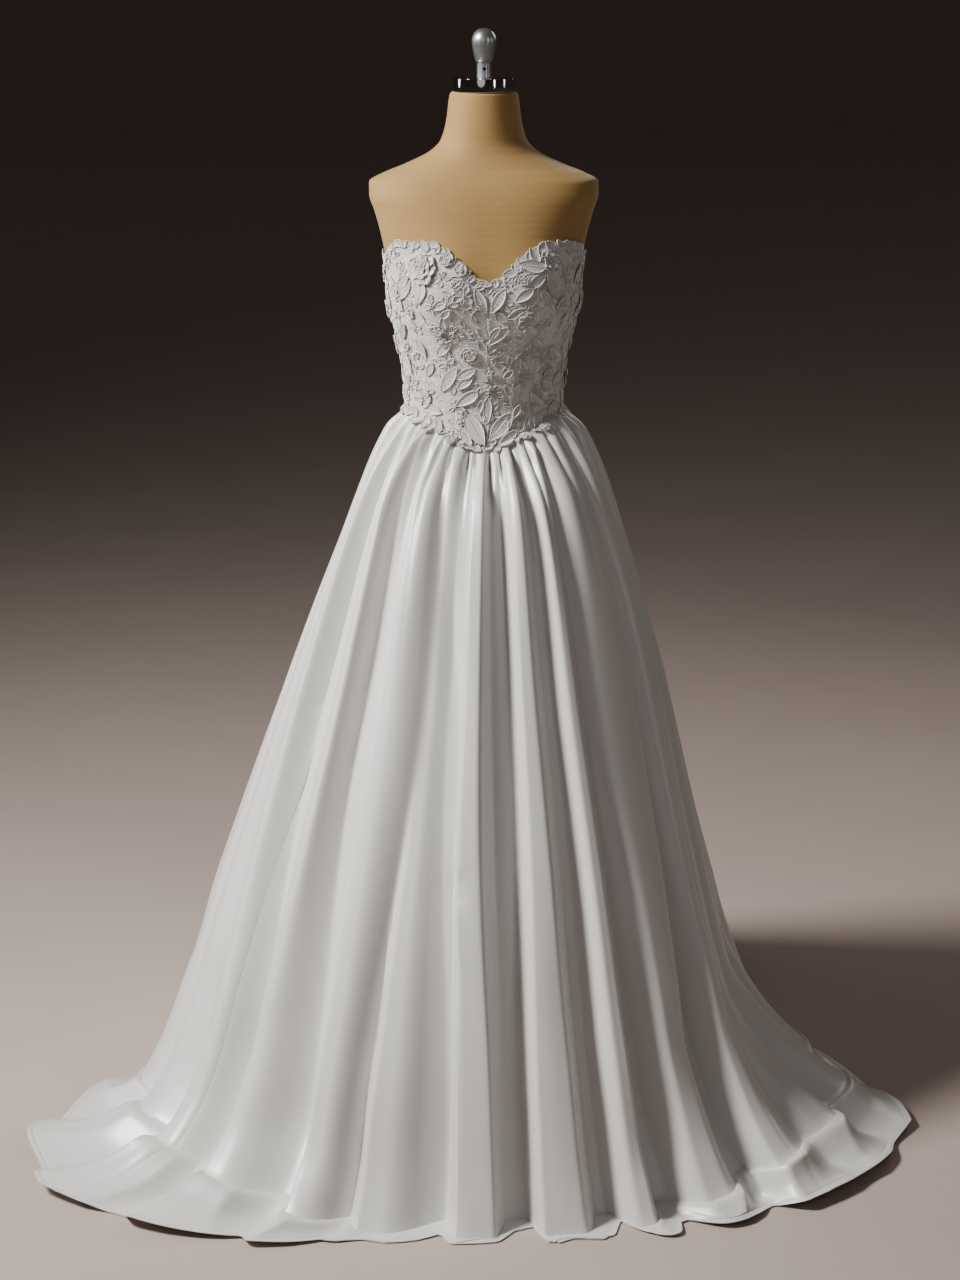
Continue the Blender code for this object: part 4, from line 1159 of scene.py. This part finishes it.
def aluminium_material(colours):
    """Turned and anodised aluminium: fine rings from the lathe under a satin finish."""
    material, shader = new_material("anodised_aluminium", {
        "Base Color": colours.aluminium[:], "Metallic": 0.9, "Roughness": 0.34})
    solid, _ = coordinates(material)
    # Rings of the lathe tool are 0.2 mm apart and are drawn 0.6 mm apart, so that they show
    rings = bands(material, solid, "Z", 0.0006, 0.3)
    worn = noise(material, solid, 160.0, 4.0)
    link_shader(shader, {
        "Roughness": remap(material, worn, 0.0, 1.0, 0.28, 0.42),
        "Normal": relief(material, rings, 0.08, 0.0001)})
    return material


def stand_material(colours):
    """Powder coat on the steel stand: dark, with a fine orange-peel skin."""
    material, shader = new_material("powder_coat", {
        "Base Color": colours.stand[:], "Roughness": 0.5})
    solid, _ = coordinates(material)
    peel = noise(material, solid, 700.0, 2.0)
    link_shader(shader, {"Normal": relief(material, peel, 0.2, 0.0002)})
    return material


def floor_material(colours):
    """Matt studio floor of sealed plaster, faintly mottled."""
    material, shader = new_material("studio_floor", {"Roughness": 0.85})
    solid, _ = coordinates(material)
    mottle = noise(material, solid, 2.2, 6.0, 0.6)
    link_shader(shader, {
        "Base Color": two_tone(material, colours.floor, colours.floor_shade, mottle)})
    return material


MATERIAL_MAKERS = {
    "woven_satin": satin_material,
    "embroidered_tulle": lace_ground_material,
    "embroidered_organza": petal_material,
    "cotton_cord": cord_material,
    "glass_pearl": pearl_material,
    "cotton_jersey": covering_material,
    "chromium_plate": chrome_material,
    "anodised_aluminium": aluminium_material,
    "powder_coat": stand_material,
    "studio_floor": floor_material,
}


def finish_of(name):
    """The named material, made at its first use from the scene's colours."""
    return bpy.data.materials.get(name) or MATERIAL_MAKERS[name](bpy.context.scene.dress_colours)


def draw_back_edges(grid):
    """Move the first and last columns in by half a seam's gap, along the cloth."""
    grid = grid.copy()
    for edge, near in ((0, 1), (-1, -2)):
        along = grid[:, near] - grid[:, edge]
        grid[:, edge] += along / np.linalg.norm(along, axis=1, keepdims=True) * (SEAM_GAP / 2.0)
    return grid


def cloth_piece(name, grid, flat, wall, material, nodes):
    """A thin shell of cloth on a grid of points."""
    rows, columns = grid.shape[:2]
    obj = mesh_object(name, [(grid, grid_faces(rows, columns), flat)])
    apply_modifier(obj, "SOLIDIFY", thickness=wall, offset=-1.0, use_rim=True)
    dress_piece(obj, material, nodes)


def stitch_row(path, facing, length, gap, radius):
    """Short straight stitches along a path, each a small cord lying on the cloth."""
    travel = np.concatenate(([0.0], np.cumsum(np.linalg.norm(np.diff(path, axis=0), axis=1))))
    starts = np.arange(gap, travel[-1] - length - gap, length + gap)
    made = []
    for start in starts:
        at = start + length * np.array((0.0, 0.5, 1.0))
        points = np.stack([np.interp(at, travel, path[:, k]) for k in range(3)], axis=1)
        out = np.stack([np.interp(at, travel, facing[:, k]) for k in range(3)], axis=1)
        sink = radius * np.array((-0.6, 0.5, -0.6))
        made.append(cord(points + out * sink[:, None], out, radius))
    return made


def grid_facing(grid):
    """The way that each point of a grid faces."""
    down = np.gradient(grid, axis=0)
    beside = np.gradient(grid, axis=1)
    facing = np.cross(beside, down)
    return facing / np.maximum(np.linalg.norm(facing, axis=-1, keepdims=True), 1e-9)


def bead_template():
    """One round bead of two dozen faces: its points and its faces."""
    bpy.ops.mesh.primitive_cube_add(size=2.0, location=(0.0, 0.0, 0.0))
    obj = bpy.context.object
    bpy.ops.object.mode_set(mode="EDIT")
    bpy.ops.mesh.select_all(action="SELECT")
    bpy.ops.mesh.subdivide(number_cuts=1)
    bpy.ops.transform.tosphere(value=1.0)
    bpy.ops.object.mode_set(mode="OBJECT")
    points = np.array([vertex.co[:] for vertex in obj.data.vertices])
    points = points / np.linalg.norm(points, axis=1, keepdims=True)
    faces = np.array([face.vertices[:] for face in obj.data.polygons])
    bpy.data.objects.remove(obj)
    return points, faces


def length_property(name, description, default, low, high):
    """A length in metres, with its limits."""
    return bpy.props.FloatProperty(
        name=name, description=description, default=default, min=low, max=high, unit="LENGTH")


class DressSizes(bpy.types.PropertyGroup):
    """Sizes that a user would change."""

    gather_depth: length_property(
        "Gather depth", "How far the gathers stand out under the seam", 0.0125, 0.0, 0.02)
    skirt_cloth: length_property(
        "Skirt cloth", "Thickness of the skirt's satin", 0.0014, 0.0005, 0.0024)
    bodice_cloth: length_property(
        "Bodice cloth", "Thickness of the bodice's cloth", 0.0015, 0.0005, 0.0018)
    cloth_pitch: bpy.props.FloatProperty(
        name="Cloth pitch", description="Degrees of cloth between two columns of points",
        default=0.5, min=0.25, max=2.5)
    hem_width: length_property(
        "Hem width", "Distance of the hem's stitching from its edge", 0.008, 0.003, 0.02)
    hem_stitch: length_property("Hem stitch", "Length of one stitch of the hem", 0.0032, 0.001, 0.01)
    lace_cloth: length_property(
        "Lace cloth", "Thickness of leaves and petals", 0.0004, 0.0002, 0.001)
    cord_width: length_property(
        "Cord width", "Thickness of the cord round leaves and petals", 0.0012, 0.0005, 0.003)
    chain_stitch: length_property(
        "Chain stitch", "Length of one stitch of the stems", 0.0036, 0.001, 0.008)
    bead_size: length_property("Bead size", "Width of the seed pearls", 0.0022, 0.001, 0.005)


def colour_property(name, description, code):
    """A colour property whose default is an sRGB hex code."""
    return bpy.props.FloatVectorProperty(
        name=name, description=description, default=linear(code), size=4, min=0.0, max=1.0,
        subtype="COLOR")


class DressColours(bpy.types.PropertyGroup):
    """Colours that a user would change."""

    satin: colour_property("Satin", "Lit satin of the skirt", "#E4E3E1")
    satin_shade: colour_property("Satin shade", "Darker clouds of the satin", "#DDDCDA")
    lace: colour_property("Lace", "Worked thread of the lace", "#FDFCFA")
    # The cloth seen through the net, painted darker also as painted shade between the raised threads
    lace_ground_and_shade: colour_property("Lace shade", "Cloth seen through the net", "#DEDCDA")
    # The sheer fill, darker than the stitching partly as painted shade; it also darkens the grooves of the
    # cord's twist
    sheer_fill_and_shade: colour_property("Petal shade", "Sheer organza between the veins", "#DAD8D5")
    cord: colour_property("Cord", "Cotton cord round the motifs", "#FDFCF9")
    # The pearls' rims are painted whiter than this heart colour, as a painted sheen
    pearl: colour_property("Pearl", "Heart of the seed pearls", "#E9DDD8")
    covering: colour_property("Covering", "Jersey of the dress form", "#BC9D6C")
    covering_shade: colour_property("Covering shade", "Darker clouds of the jersey", "#AE8D5C")
    chrome: colour_property("Chrome", "Plated neck cap", "#DADCDE")
    aluminium: colour_property("Aluminium", "Knob and its stem", "#C3C6C8")
    stand: colour_property("Stand", "Pole and base under the skirt", "#3B3B3D")
    floor: colour_property("Floor", "Studio floor", "#C9B9B2")
    floor_shade: colour_property("Floor shade", "Mottling of the studio floor", "#BFAFA8")


class DRESS_OT_form(bpy.types.Operator):
    """Wrap the covered torso of the dress form, from its waist to its neck"""

    bl_idname = "dress.form"
    bl_label = "Dress form"

    def execute(self, context):
        heights = np.concatenate((
            np.linspace(0.860, 1.300, 26, endpoint=False),
            np.linspace(1.300, 1.455, 20, endpoint=False),
            np.linspace(1.455, 1.550, 32, endpoint=False),
            np.linspace(1.550, 1.615, 16, endpoint=False),
            np.linspace(1.615, NECK_TOP_Z, 7),
        ))
        heights = np.concatenate((heights[:1], heights, heights[-1:]))
        rows = len(heights) - 1
        bpy.ops.mesh.primitive_grid_add(x_subdivisions=144, y_subdivisions=rows, size=1.0)
        obj = context.object
        obj.name = "form_covering"
        flat = np.array([vertex.co[:] for vertex in obj.data.vertices])
        row = np.rint((flat[:, 1] + 0.5) * rows).astype(int)
        azimuth = flat[:, 0] * 360.0
        height = heights[row]
        reach = torso_reach(azimuth, height) - BODICE_WALL - FORM_CLEARANCE
        reach = np.where((row == 0) | (row == rows), 0.0, reach)
        points = at_reach(azimuth, reach, height)
        obj.data.vertices.foreach_set("co", points.reshape(-1))
        bpy.ops.object.mode_set(mode="EDIT")
        bpy.ops.mesh.select_all(action="SELECT")
        bpy.ops.mesh.remove_doubles(threshold=0.00001)
        bpy.ops.mesh.normals_make_consistent(inside=False)
        bpy.ops.object.mode_set(mode="OBJECT")
        dress_piece(obj, finish_of("cotton_jersey"), ["form_torso"])
        return {"FINISHED"}


class DRESS_OT_neck_cap(bpy.types.Operator):
    """Turn the chromed cap of the neck, with its rolled rims and a shallow dish"""

    bl_idname = "dress.neck_cap"
    bl_label = "Neck cap"

    def execute(self, context):
        low = NECK_TOP_Z + TOUCH_GAP
        bpy.ops.mesh.primitive_cylinder_add(
            vertices=128, radius=CAP_RADIUS, depth=CAP_HEIGHT,
            location=(0.0, 0.0, low + CAP_HEIGHT / 2.0))
        obj = context.object
        obj.name = "neck_cap_chrome"
        bpy.ops.object.transform_apply(location=True, rotation=False, scale=False)
        mesh = obj.data
        bpy.ops.object.mode_set(mode="EDIT")
        work = bmesh.from_edit_mesh(mesh)
        for face in work.faces:
            face.select_set(face.normal.z > 0.9)
        bmesh.update_edit_mesh(mesh)
        bpy.ops.mesh.inset(thickness=0.0030)
        bpy.ops.transform.translate(value=(0.0, 0.0, -0.0010))
        bpy.ops.mesh.inset(thickness=0.0060)
        bpy.ops.transform.translate(value=(0.0, 0.0, 0.0010))
        bpy.ops.object.mode_set(mode="OBJECT")
        apply_modifier(obj, "BEVEL", width=0.0009, segments=3, limit_method="ANGLE",
                       angle_limit=math.radians(12.0))
        dress_piece(obj, finish_of("chromium_plate"), ["neck_cap"], 30.0)
        return {"FINISHED"}


class DRESS_OT_knob(bpy.types.Operator):
    """Draw out the knob and its stem ring by ring, and drill the hole of its grub screw, painted dark
    inside as painted shade
    """

    bl_idname = "dress.knob"
    bl_label = "Knob"

    def execute(self, context):
        radius, height = KNOB_LINE[0]
        bpy.ops.mesh.primitive_circle_add(
            vertices=72, radius=radius, fill_type="NGON", location=(0.0, 0.0, height))
        obj = context.object
        obj.name = "knob_turned"
        bpy.ops.object.transform_apply(location=True, rotation=False, scale=False)
        bpy.ops.object.mode_set(mode="EDIT")
        bpy.ops.mesh.select_all(action="SELECT")
        for next_radius, next_height in KNOB_LINE[1:]:
            draw_ring(bpy.ops.mesh.extrude_region_move, radius, height, next_radius, next_height)
            radius, height = next_radius, next_height
        bpy.ops.mesh.select_all(action="SELECT")
        bpy.ops.mesh.normals_make_consistent(inside=False)
        bpy.ops.object.mode_set(mode="OBJECT")
        stem = KNOB_LINE[0][0]
        bpy.ops.mesh.primitive_cylinder_add(
            vertices=32, radius=GRUB_SCREW_RADIUS, depth=2.0 * GRUB_SCREW_DEPTH,
            location=(0.0, -stem, GRUB_SCREW_Z), rotation=(math.radians(90.0), 0.0, 0.0))
        drill = context.object
        apply_modifier(obj, "BOOLEAN", operation="DIFFERENCE", object=drill, solver="EXACT")
        bpy.data.objects.remove(drill)
        dress_piece(obj, finish_of("anodised_aluminium"), ["knob"], 35.0)
        # Painted shade: the wall and floor of the grub screw's hole take the dark powder coat of the stand,
        # so that the hole reads dark
        obj.data.materials.append(finish_of("powder_coat"))
        for face in obj.data.polygons:
            from_hole = math.hypot(face.center.x, face.center.z - GRUB_SCREW_Z)
            if from_hole < GRUB_SCREW_RADIUS * 1.01 and -stem * 0.92 < face.center.y < 0.0:
                face.material_index = 1
        return {"FINISHED"}


class DRESS_OT_stand(bpy.types.Operator):
    """Coat the stand's pole and base, which keep their own shapes"""

    bl_idname = "dress.stand"
    bl_label = "Stand"

    def execute(self, context):
        for name in ("stand_pole", "stand_base"):
            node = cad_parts[name]
            node.data.materials.clear()
            node.data.materials.append(finish_of("powder_coat"))
        return {"FINISHED"}


class DRESS_OT_bodice(bpy.types.Operator):
    """Lay the eight panels of the bodice round the form"""

    bl_idname = "dress.bodice"
    bl_label = "Bodice"

    def execute(self, context):
        sizes = context.scene.dress_sizes
        share = np.linspace(0.0, 1.0, 57)[:, None]
        for name, first, last in BODICE_PANELS:
            azimuth = 180.0 - np.linspace(first, last, (last - first) * 4 + 1) * 360.0 / BODICE_COLUMNS
            azimuth = azimuth[None, :] * np.ones_like(share)
            top = bodice_edge(azimuth, TOP_EDGE)
            seam = bodice_edge(azimuth, BASQUE_SEAM)
            height = top + (seam - top) * share
            reach = torso_reach(azimuth, height)
            edge = np.minimum(azimuth.max() - azimuth, azimuth - azimuth.min())
            reach = reach - 0.0006 * np.exp(-(edge / 0.55) ** 2)
            reach = reach + 0.0003 * drift(azimuth / 3.0, height * 60.0, 2)
            grid = draw_back_edges(at_reach(azimuth, reach, height))
            flat = np.stack((np.radians(azimuth) * 0.13, height), axis=-1)
            cloth_piece(name + "_cloth", grid, flat, sizes.bodice_cloth,
                        finish_of("embroidered_tulle"), [name])
        return {"FINISHED"}


class DRESS_OT_skirt(bpy.types.Operator):
    """Gather the five panels of the skirt to the basque seam, and stitch their hem"""

    bl_idname = "dress.skirt"
    bl_label = "Skirt"

    def execute(self, context):
        sizes = context.scene.dress_sizes
        hem = sizes.hem_width
        hem_rows = (hem * 2.2, hem * 1.30, hem * 1.12, hem * 1.0, hem * 0.90, hem * 0.45, 0.0)
        rows = np.concatenate((
            np.linspace(0.0, 0.06, 13, endpoint=False),
            np.linspace(0.06, 0.34, 28, endpoint=False),
            np.linspace(0.34, 1.10, 46, endpoint=False),
            np.linspace(1.10, 2.0, 28),
        ))
        stitches = []
        for name, first, last in SKIRT_PANELS:
            count = int(round((first - last) / sizes.cloth_pitch)) + 1
            cloth = np.linspace(first, last, count)
            step = hem_steps(cloth, rows, hem_rows)
            cloth = cloth[None, :] * np.ones_like(step)
            grid = skirt_surface(cloth, step, sizes.gather_depth)
            facing = grid_facing(grid)
            fold_over = np.zeros(len(step))
            fold_over[-len(hem_rows):] = (0.0, 0.0, -0.0005, -0.0002, 0.0005, 0.0006, 0.0004)
            edge = np.minimum(first - cloth, cloth - last)
            groove = 0.0008 * np.exp(-(edge / 0.35) ** 2) * smooth_step(step / 0.05)
            grid = grid + facing * (fold_over[:, None] - groove)[..., None]
            grid[..., 2] = np.maximum(grid[..., 2], sizes.skirt_cloth + 0.0002)
            grid = draw_back_edges(grid)
            flat = np.stack((cloth * 0.0085, step * 1.15), axis=-1)
            cloth_piece(name + "_cloth", grid, flat, sizes.skirt_cloth, finish_of("woven_satin"),
                        [name])
            row = len(step) - len(hem_rows) + 3
            stitches += stitch_row(grid[row], facing[row], sizes.hem_stitch, sizes.hem_stitch * 0.3,
                                   0.00035)
        thread = mesh_object("hem_stitches", stitches)
        dress_piece(thread, finish_of("cotton_cord"))
        return {"FINISHED"}


class DRESS_OT_lace(bpy.types.Operator):
    """Sew the leaves, blossoms, stems and beads of the lace to the bodice"""

    bl_idname = "dress.lace"
    bl_label = "Lace"

    def execute(self, context):
        sizes = context.scene.dress_sizes
        lace = Lace(sizes, bead_template())
        for number, row in enumerate(FRONT_LEAVES):
            lace.add_leaf(*row, lift=0.0012 + 0.0004 * (number % 3), seed=100 + number)
        for number, row in enumerate(FRONT_BLOSSOMS):
            lace.add_blossom(*row, lift=0.0020, seed=300 + number)
        for places in FRONT_STEMS:
            lace.add_stem(places, sizes.cord_width * 0.62)
        self.add_edging(lace)
        self.add_sides_and_back(lace)
        self.add_sprays(lace)
        self.add_sprigs(lace)
        self.make_pieces(lace, sizes)
        return {"FINISHED"}

    def add_edging(self, lace):
        """Small leaves that lie along the top edge, and hang over the basque seam."""
        rng = np.random.default_rng(41)
        for edge, count, first, side, low, high, lean in (
                (TOP_EDGE, 96, 0.0, 1.0, -0.0020, 0.0032, 88.0),
                (BASQUE_SEAM, 92, 180.0, -1.0, 0.0020, 0.0095, 72.0)):
            for number in range(count):
                azimuth = -180.0 + 360.0 * (number + rng.uniform(0.1, 0.9)) / count
                length = rng.uniform(0.013, 0.023)
                angle = rng.uniform(-lean, lean)
                inward = length / 2.0 * math.cos(math.radians(angle))
                height = float(bodice_edge(azimuth, edge)) + side * (rng.uniform(low, high) - inward)
                lace.add_leaf(azimuth, height, length, length * rng.uniform(0.42, 0.66),
                              first + edge_turn(azimuth, edge) + angle,
                              0.0004 + 0.0004 * (number % 3), 500 + 200 * edge + number)

    def add_sides_and_back(self, lace):
        """Blossoms with leaves round them, spread over the sides and the back."""
        rng = np.random.default_rng(43)
        places = scattered_places(
            26, 0.046, lambda azimuth: abs(azimuth) < 80.0, 47, 0.016,
            [row[:2] for row in FRONT_BLOSSOMS])
        for number, (azimuth, height) in enumerate(places):
            radius = rng.uniform(0.011, 0.0165)
            lace.add_blossom(azimuth, height, radius, 5 + number % 2, 2, rng.uniform(0.22, 0.40),
                             0.0016, 900 + number, fine=False)
            first = rng.uniform(0.0, 360.0)
            for leaf in range(3):
                turn = first + 120.0 * leaf + rng.uniform(-25.0, 25.0)
                length = rng.uniform(0.022, 0.034)
                away = radius * 0.8 + length / 2.0
                reach = float(torso_reach(azimuth, height))
                beside = math.degrees(away * math.sin(math.radians(turn)) / reach)
                above = away * math.cos(math.radians(turn))
                lace.add_leaf(azimuth + beside, height + above, length,
                              length * rng.uniform(0.34, 0.46), turn,
                              0.0010 + 0.0004 * (leaf % 2), 1000 + 10 * number + leaf)

    def add_sprays(self, lace):
        """Flat flowers that run into each other between the larger motifs."""
        rng = np.random.default_rng(61)
        places = scattered_places(100, 0.0225, lambda azimuth: False, 67, 0.012,
                                  [row[:2] for row in FRONT_BLOSSOMS[:8]])
        for number, (azimuth, height) in enumerate(places):
            lace.add_spray(azimuth, height, rng.uniform(0.0115, 0.0180), 5 + number % 2, 0.0003,
                           3000 + number)

    def add_sprigs(self, lace):
        """Curls of cord, small leaves and single beads that fill the ground."""
        rng = np.random.default_rng(53)
        motifs = [row[:2] for row in FRONT_BLOSSOMS + FRONT_LEAVES]
        places = scattered_places(300, 0.0125, lambda azimuth: False, 59, 0.008, motifs)
        for number, (azimuth, height) in enumerate(places):
            if number % 2 == 0:
                length = rng.uniform(0.010, 0.015)
                lace.add_leaf(azimuth, height, length, length * 0.45, rng.uniform(0.0, 360.0),
                              0.0007, 2000 + number)
            else:
                lace.add_tendril(azimuth, height, rng.uniform(0.0035, 0.0065), 2400 + number)
            place = Place(azimuth, height, 0.0, 0.0004)
            for angle in rng.uniform(0.0, 2.0 * math.pi, 2):
                lace.add_bead(place, 0.0062 * math.cos(angle), 0.0062 * math.sin(angle), 0.0,
                              lace.sizes.bead_size * rng.uniform(0.22, 0.40))

    def make_pieces(self, lace, sizes):
        """Join the parts of the lace into its pieces."""
        leaf_nodes = [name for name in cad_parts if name.startswith("lace_leaf")]
        blossom_nodes = [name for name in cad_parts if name.startswith("lace_blossom")]
        cords = mesh_object("lace_cords", lace.cords)
        beads = mesh_object("lace_beads", lace.beads)
        dress_piece(cords, finish_of("cotton_cord"), angle=80.0)
        dress_piece(beads, finish_of("glass_pearl"), angle=80.0)
        for name, parts, nodes in (("lace_leaves", lace.leaves, leaf_nodes),
                                   ("lace_petals", lace.petals, blossom_nodes)):
            obj = mesh_object(name, parts)
            apply_modifier(obj, "SOLIDIFY", thickness=sizes.lace_cloth, offset=0.0, use_rim=True)
            dress_piece(obj, finish_of("embroidered_organza"), nodes, 60.0)


class DRESS_OT_stage(bpy.types.Operator):
    """Set the plain floor, the studio lights and the photograph's camera"""

    bl_idname = "dress.stage"
    bl_label = "Stage"

    def execute(self, context):
        self.make_floor(context)
        self.make_lights(context)
        self.make_camera(context)
        context.scene.view_settings.view_transform = "AgX"
        context.scene.view_settings.look = "AgX - Medium High Contrast"
        context.scene.view_settings.exposure = -0.1
        return {"FINISHED"}

    def make_floor(self, context):
        """A wide round floor that curves up into a far wall, so that each view has the same backdrop."""
        radius, height = FLOOR_RADIUS, 0.0
        bpy.ops.mesh.primitive_circle_add(vertices=128, radius=radius, fill_type="NGON")
        obj = context.object
        obj.name = "studio_floor"
        bpy.ops.object.mode_set(mode="EDIT")
        bpy.ops.mesh.select_all(action="SELECT")
        bpy.ops.mesh.select_mode(type="EDGE")
        bpy.ops.mesh.region_to_loop()
        for number in range(1, BEND_STEPS + 1):
            angle = math.radians(90.0) * number / BEND_STEPS
            next_radius = FLOOR_RADIUS + FLOOR_BEND * math.sin(angle)
            next_height = FLOOR_BEND * (1.0 - math.cos(angle))
            draw_ring(bpy.ops.mesh.extrude_edges_move, radius, height, next_radius, next_height)
            radius, height = next_radius, next_height
        bpy.ops.mesh.extrude_edges_move(TRANSFORM_OT_translate={"value": (0.0, 0.0, WALL_HEIGHT)})
        bpy.ops.mesh.select_all(action="SELECT")
        bpy.ops.mesh.normals_make_consistent(inside=True)
        bpy.ops.object.mode_set(mode="OBJECT")
        obj.data.materials.append(finish_of("studio_floor"))
        select_only(obj)
        bpy.ops.object.shade_smooth_by_angle(angle=math.radians(40.0))

    def make_lights(self, context):
        """Large soft lights round the dress, and an even soft light from all sides."""
        for name, azimuth, distance, height, width, length, spread, power, colour, aim in LIGHTS:
            turn = math.radians(azimuth)
            place = (distance * math.sin(turn), -distance * math.cos(turn), height)
            down = math.atan2(height - aim, distance)
            bpy.ops.object.light_add(
                type="AREA", location=place, rotation=(math.radians(90.0) - down, 0.0, turn))
            light = context.object
            light.name = name + "_light"
            light.data.shape = "ELLIPSE"
            light.data.size = width
            light.data.size_y = length
            light.data.spread = math.radians(spread)
            light.data.energy = power
            light.data.color = linear(colour)[:3]
        world = bpy.data.worlds.new("studio")
        world.use_nodes = True
        sky = world.node_tree.nodes["Background"]
        sky.inputs["Color"].default_value = linear("#E6DEDA")
        sky.inputs["Strength"].default_value = 0.10
        context.scene.world = world

    def make_camera(self, context):
        """The camera of the photograph."""
        turn = math.radians(CAMERA_AZIMUTH)
        place = (CAMERA_DISTANCE * math.sin(turn), -CAMERA_DISTANCE * math.cos(turn), CAMERA_HEIGHT)
        bpy.ops.object.camera_add(
            location=place,
            rotation=(math.radians(90.0 - CAMERA_DOWN), 0.0, turn + math.radians(CAMERA_YAW)))
        camera = context.object
        camera.data.lens = CAMERA_LENS
        camera.data.clip_end = 100.0
        context.scene.camera = camera


class DRESS_PT_panel(bpy.types.Panel):
    """The dress's steps, sizes and colours"""

    bl_idname = "DRESS_PT_panel"
    bl_label = "Wedding dress"
    bl_space_type = "VIEW_3D"
    bl_region_type = "UI"
    bl_category = "Dress"

    def draw(self, context):
        for operator in STEPS:
            self.layout.operator(operator.bl_idname)
        for group in (context.scene.dress_sizes, context.scene.dress_colours):
            box = self.layout.box()
            for name in group.bl_rna.properties.keys():
                if name not in ("rna_type", "name"):
                    box.prop(group, name)


STEPS = (
    DRESS_OT_form,
    DRESS_OT_neck_cap,
    DRESS_OT_knob,
    DRESS_OT_stand,
    DRESS_OT_bodice,
    DRESS_OT_skirt,
    DRESS_OT_lace,
    DRESS_OT_stage,
)
CLASSES = (DressSizes, DressColours) + STEPS + (DRESS_PT_panel,)


def register():
    """Add the classes and the properties to Blender."""
    for kind in CLASSES:
        bpy.utils.register_class(kind)
    bpy.types.Scene.dress_sizes = bpy.props.PointerProperty(type=DressSizes)
    bpy.types.Scene.dress_colours = bpy.props.PointerProperty(type=DressColours)


def unregister():
    """Take the properties and the classes out of Blender."""
    del bpy.types.Scene.dress_colours
    del bpy.types.Scene.dress_sizes
    for kind in reversed(CLASSES):
        bpy.utils.unregister_class(kind)


def main():
    """Build every piece in order."""
    register()
    for other in bpy.context.selected_objects:
        other.select_set(False)
    bpy.ops.dress.form()
    bpy.ops.dress.neck_cap()
    bpy.ops.dress.knob()
    bpy.ops.dress.stand()
    bpy.ops.dress.bodice()
    bpy.ops.dress.skirt()
    bpy.ops.dress.lace()
    bpy.ops.dress.stage()


if __name__ == "__main__":
    main()
